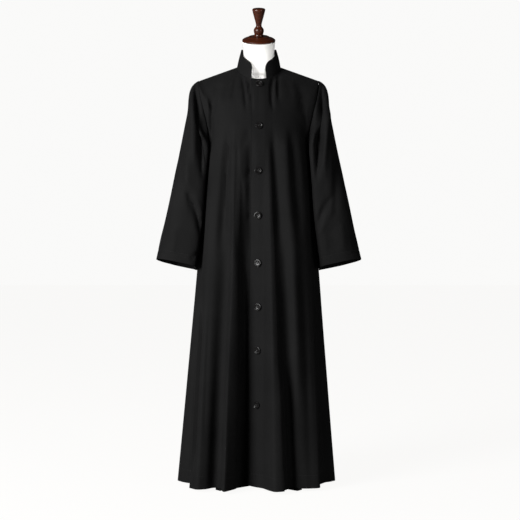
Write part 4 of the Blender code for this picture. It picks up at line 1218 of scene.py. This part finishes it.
black_resin = button_finish()
for number, (across, height) in enumerate(BUTTONS, start=1):
    low, high = (np.array(corner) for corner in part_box(f"button_{number}"))
    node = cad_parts[f"button_{number}"]
    corners = np.array([vertex.co for vertex in node.data.vertices])
    _, _, directions = np.linalg.svd(corners - corners.mean(axis=0), full_matrices=False)
    axis = directions[2] * (-1.0 if directions[2][1] > 0 else 1.0)
    centre = (low + high) / 2
    seat = centre + axis * ((corners @ axis).min() - centre @ axis)
    made = turned(
        f"button_{number}_disc", BUTTON_PROFILE, BUTTON_RINGS, BUTTON_SIDES, black_resin,
        seat, axis, button_holes,
    )
    sewn = sewing(f"button_{number}_thread", seat + axis * THREAD_SEAT, axis, black_thread)
    belongs(made, f"button_{number}")
    belongs(sewn)

# ====================================================================
# Dress form: a padded torso and neck without limbs, tightly covered in cream cotton jersey.
# --------------------------------------------------------------------
FORM_SECTIONS = (
    # height, half width, front, back, middle y, power, forward tilt
    (0.77, 0.06, 0.045, 0.045, 0.0, 2.2, 0.0),
    (0.776, 0.1, 0.07, 0.072, 0.0, 2.2, 0.0),
    (0.8, 0.128, 0.088, 0.092, 0.0, 2.3, 0.0),
    (0.88, 0.15, 0.098, 0.104, 0.0, 2.3, 0.0),
    (0.96, 0.142, 0.095, 0.096, 0.0, 2.3, 0.0),
    (1.04, 0.128, 0.09, 0.082, 0.0, 2.3, 0.0),
    (1.12, 0.136, 0.097, 0.084, 0.0, 2.3, 0.0),
    (1.2, 0.146, 0.102, 0.088, 0.0, 2.3, 0.0),
    (1.26, 0.157, 0.092, 0.088, 0.002, 2.2, 0.0),
    (1.31, 0.172, 0.072, 0.076, 0.006, 2.1, 0.0),
    (1.34, 0.18, 0.052, 0.06, 0.008, 1.9, 0.0),
    (1.362, 0.174, 0.034, 0.042, 0.01, 1.5, 0.0),
    (1.38, 0.13, 0.038, 0.042, 0.01, 1.3, 0.0),
    (1.396, 0.088, 0.046, 0.048, 0.008, 1.5, 4.0),
    (1.412, 0.062, 0.048, 0.05, 0.006, 1.9, 6.0),
    (1.44, 0.052, 0.047, 0.048, 0.003, 2.0, 10.0),
    (1.474, 0.053, 0.051, 0.051, -0.004, 2.0, 16.0),
    (1.5005, 0.056, 0.056, 0.056, -0.012, 2.0, 22.0),
)
FORM_ROWS = 96
FORM_COLUMNS = 96


def form_face():
    """The rings of the dress form: smooth curves through the sections' sizes up its height,
    each ring a rounded outline that tilts forward up the neck."""
    rows = np.array(FORM_SECTIONS)
    run = run_along(rows[:, :2])
    at = np.unique(np.concatenate([np.linspace(0.0, run[-1], FORM_ROWS), run]))
    turn = np.arange(FORM_COLUMNS) * 360.0 / FORM_COLUMNS
    rings = []
    for here in at:
        values = [float(through(run, rows[:, k], np.array([here]))[0]) for k in range(7)]
        height, half, front, back, middle, power, tilt = values
        shape = {"half": half, "front": front, "back": back, "power": power, "shift": 0.0}
        flat, _ = outline(turn, shape)
        z = height + flat[:, 1] * math.tan(math.radians(tilt))
        rings.append(np.column_stack([flat[:, 0], flat[:, 1] + middle, z]))
    return np.array(rings)


def jersey_finish():
    """Cream cotton jersey: fine upright ribs, slightly uneven dye and a soft nap."""
    finish = Finish("cream_form_cover", Sheen_Weight=0.12, Sheen_Roughness=0.5, IOR=1.4)
    solid = finish.node("ShaderNodeTexCoord", output=3)
    knit = finish.node(
        "ShaderNodeTexWave", {"bands_direction": "X"},
        {"Vector": solid, "Scale": 420.0, "Distortion": 1.2, "Detail": 2.0}, 1,
    )
    fleck = finish.noise(solid, 38.0, 4.0)
    tone = knit * 0.25 + fleck * 0.75
    finish.feed("Base Color", finish.mix(tone, (0.90, 0.885, 0.850, 1), (0.97, 0.962, 0.935, 1)))
    finish.feed("Roughness", fleck * 0.12 + 0.78)
    finish.feed("Normal", finish.bump(knit * 0.5 + fleck * 0.5, 0.00018, 0.5))
    return finish.material


rings = form_face()
faces = tube_faces(*rings.shape[:2])
made = placed("form_cover", rings, faces, jersey_finish(), 50.0, close=True)
belongs(made, "torso")

# ====================================================================
# Neck cap and finial: turned from one dark red-brown hardwood, stained and lacquered, screwed to
# the tilted top of the neck.
# --------------------------------------------------------------------
CAP_TILT = 22.0
CAP_GAP = 0.0004
CAP_PROFILE = (
    # radius, height above the seat
    (0.0, 0.0), (0.052, 0.0), (0.055, 0.0008), (0.0562, 0.0026), (0.0561, 0.0048), (0.0548, 0.0062),
    (0.05, 0.0096), (0.044, 0.0119), (0.038, 0.0136), (0.036, 0.015), (0.0345, 0.0164),
    (0.033, 0.017), (0.0315, 0.017), (0.0298, 0.0163), (0.028, 0.0156), (0.023, 0.016),
    (0.019, 0.0166), (0.0, 0.0166),
)
FINIAL_PROFILE = (
    # radius, height above the seat
    (0.0, 0.0), (0.0146, 0.0), (0.0156, 0.001), (0.0158, 0.003), (0.0154, 0.005), (0.0147, 0.0066),
    (0.0149, 0.0085), (0.016, 0.0125), (0.0172, 0.0185), (0.0168, 0.0225), (0.0152, 0.0266),
    (0.012, 0.0305), (0.0098, 0.034), (0.0094, 0.037), (0.0099, 0.0415), (0.0124, 0.052),
    (0.0158, 0.0643), (0.019, 0.0763), (0.0214, 0.0863), (0.0219, 0.0888), (0.0212, 0.0913),
    (0.018, 0.093), (0.012, 0.0939), (0.0, 0.0943),
)


def wood_finish():
    """Stained hardwood under lacquer: long grain along the turning, rings across it, pores."""
    finish = Finish("dark_turned_wood", IOR=1.5, Coat_Roughness=0.07, Specular_IOR_Level=0.3)
    solid = finish.node("ShaderNodeTexCoord", output=3)
    leaned = finish.node(
        "ShaderNodeMapping", None,
        {"Vector": solid, "Rotation": (math.radians(-CAP_TILT), 0.0, 0.0), "Scale": (1.0, 1.0, 0.16)},
    )
    rings_of_growth = finish.node(
        "ShaderNodeTexWave", {"wave_type": "RINGS", "rings_direction": "Z"},
        {"Vector": leaned, "Scale": 48.0, "Distortion": 5.0, "Detail": 4.0, "Detail Scale": 3.0}, 1,
    )
    pores = finish.noise(leaned, 420.0, 3.0)
    stain = finish.noise(solid, 24.0, 3.0)
    tone = rings_of_growth * 0.45 + pores * 0.25 + stain * 0.30
    finish.feed("Base Color", finish.mix(tone, (0.012, 0.0030, 0.0016, 1), (0.115, 0.022, 0.005, 1)))
    finish.feed("Roughness", pores * 0.15 + 0.26)
    finish.feed("Coat Weight", stain * 0.2 + 0.35)
    finish.feed("Normal", finish.bump(pores * 0.5 + rings_of_growth * 0.5, 0.00006, 0.35))
    return finish.material


turned_wood = wood_finish()
lean = math.radians(CAP_TILT)
cap_axis = np.array([0.0, -math.sin(lean), math.cos(lean)])
neck_top = np.array([0.0, FORM_SECTIONS[-1][4], FORM_SECTIONS[-1][0]])
finial_seat = neck_top + cap_axis * (CAP_GAP + CAP_PROFILE[-1][1] + CAP_GAP)
for name, profile, ring_count, origin in (
    ("neck_cap", CAP_PROFILE, 90, neck_top + cap_axis * CAP_GAP),
    ("finial", FINIAL_PROFILE, 120, finial_seat),
):
    made = turned(f"{name}_wood", profile, ring_count, 96, turned_wood, origin, cap_axis)
    belongs(made, name)

# ====================================================================
# Stand: a steel pole, a hub and four flat legs under the skirt, all in black satin paint.
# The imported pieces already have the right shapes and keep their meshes.
# --------------------------------------------------------------------


def paint_finish():
    """Black satin paint over steel: orange peel and a few rubbed spots."""
    finish = Finish("black_stand_metal", IOR=1.5, Coat_Roughness=0.3)
    solid = finish.node("ShaderNodeTexCoord", output=3)
    peel = finish.noise(solid, 700.0, 1.0)
    rub = finish.noise(solid, 30.0, 5.0)
    finish.feed("Base Color", finish.mix(rub, (0.010, 0.010, 0.011, 1), (0.030, 0.030, 0.031, 1)))
    finish.feed("Roughness", rub * 0.25 + 0.32)
    finish.feed("Coat Weight", rub * 0.1 + 0.1)
    finish.feed("Normal", finish.bump(peel, 0.00008, 0.4))
    return finish.material


stand_paint = paint_finish()
for name in ("pole", "base_hub", *(f"base_leg_{number}" for number in range(1, 5))):
    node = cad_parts[name]
    for material_slot in node.material_slots:
        material_slot.material = stand_paint

# ====================================================================
# Room: a pale floor that meets a pale backdrop, one large soft lamp at the front left, a weak one at
# the right, a narrow one for the neck, and the camera level with the middle of the garment.
# --------------------------------------------------------------------
FLOOR_SIZE = 60.0
FLOOR_GLOW = 0.94
BACKDROP = 0.955
ROOM_LIGHT = 0.03
CAMERA_X = 0.0041
CAMERA_HEIGHT = 0.760
CAMERA_AWAY = 3.8
VIEW_WIDTH = 1.768
SENSOR = 36.0
FAR = 200.0

floor_finish = Finish("pale_floor", Roughness=0.95, Specular_IOR_Level=0.0)
floor_finish.shader.inputs["Emission Color"].default_value = (1.0, 0.995, 0.985, 1.0)
seen = floor_finish.node("ShaderNodeLightPath", output=0)
floor_finish.feed("Base Color", floor_finish.mix(seen, (0.45, 0.45, 0.445, 1), (0.10, 0.10, 0.10, 1)))
floor_finish.feed("Emission Strength", seen * FLOOR_GLOW)
corners = np.array([(-1, -1, 0), (1, -1, 0), (1, 1, 0), (-1, 1, 0)]) * FLOOR_SIZE / 2
placed("floor", corners, [(0, 1, 2, 3)], floor_finish.material)

world = bpy.data.worlds.new("studio")
world.use_nodes = True
backdrop = world.node_tree.nodes["Background"]
backdrop.inputs["Color"].default_value = (1.0, 0.998, 0.99, 1.0)
seen = world.node_tree.nodes.new("ShaderNodeLightPath")
strength = world.node_tree.nodes.new("ShaderNodeMapRange")
strength.inputs["To Min"].default_value = ROOM_LIGHT
strength.inputs["To Max"].default_value = BACKDROP
world.node_tree.links.new(seen.outputs["Is Camera Ray"], strength.inputs["Value"])
world.node_tree.links.new(strength.outputs["Result"], backdrop.inputs["Strength"])
bpy.context.scene.world = world
bpy.context.scene.view_settings.view_transform = "Standard"

# The neck lamp is a narrow spot that reaches the cover of the form and nothing else
NECK_CONE = 6.0
NECK_SOFTNESS = 0.6
LAMPS = (
    # name, kind, place, aim, size, power
    ("key", "AREA", (-3.9, -3.9, 2.1), (0.0, 0.0, 0.8), 3.0, 378.0),
    ("fill", "AREA", (3.6, -3.6, 1.3), (0.0, 0.0, 0.8), 1.6, 24.0),
    ("neck_lamp", "SPOT", (0.5, -3.3, 1.6), (0.0, -0.02, 1.46), 0.25, 950.0),
)
for name, kind, place, aim, size, power in LAMPS:
    lamp = bpy.data.lights.new(name, kind)
    lamp.energy = power
    lamp_object = bpy.data.objects.new(name, lamp)
    lamp_object.location = place
    lamp_object.rotation_euler = (Vector(aim) - Vector(place)).to_track_quat("-Z", "Y").to_euler()
    if kind == "AREA":
        lamp.shape = "DISK"
        lamp.size = size
    else:
        lamp.shadow_soft_size = size
        lamp.spot_size = math.radians(NECK_CONE)
        lamp.spot_blend = NECK_SOFTNESS
        reached = bpy.data.collections.new("neck_lamp_reaches")
        reached.objects.link(bpy.data.objects["form_cover"])
        lamp_object.light_linking.receiver_collection = reached
    bpy.context.scene.collection.objects.link(lamp_object)

camera = bpy.data.cameras.new("camera")
camera.sensor_width = SENSOR
camera.lens = SENSOR * CAMERA_AWAY / VIEW_WIDTH
camera.clip_end = FAR
camera_object = bpy.data.objects.new("camera", camera)
camera_object.location = (CAMERA_X, -CAMERA_AWAY, CAMERA_HEIGHT)
camera_object.rotation_euler = (math.radians(90.0), 0.0, 0.0)
bpy.context.scene.collection.objects.link(camera_object)
bpy.context.scene.camera = camera_object
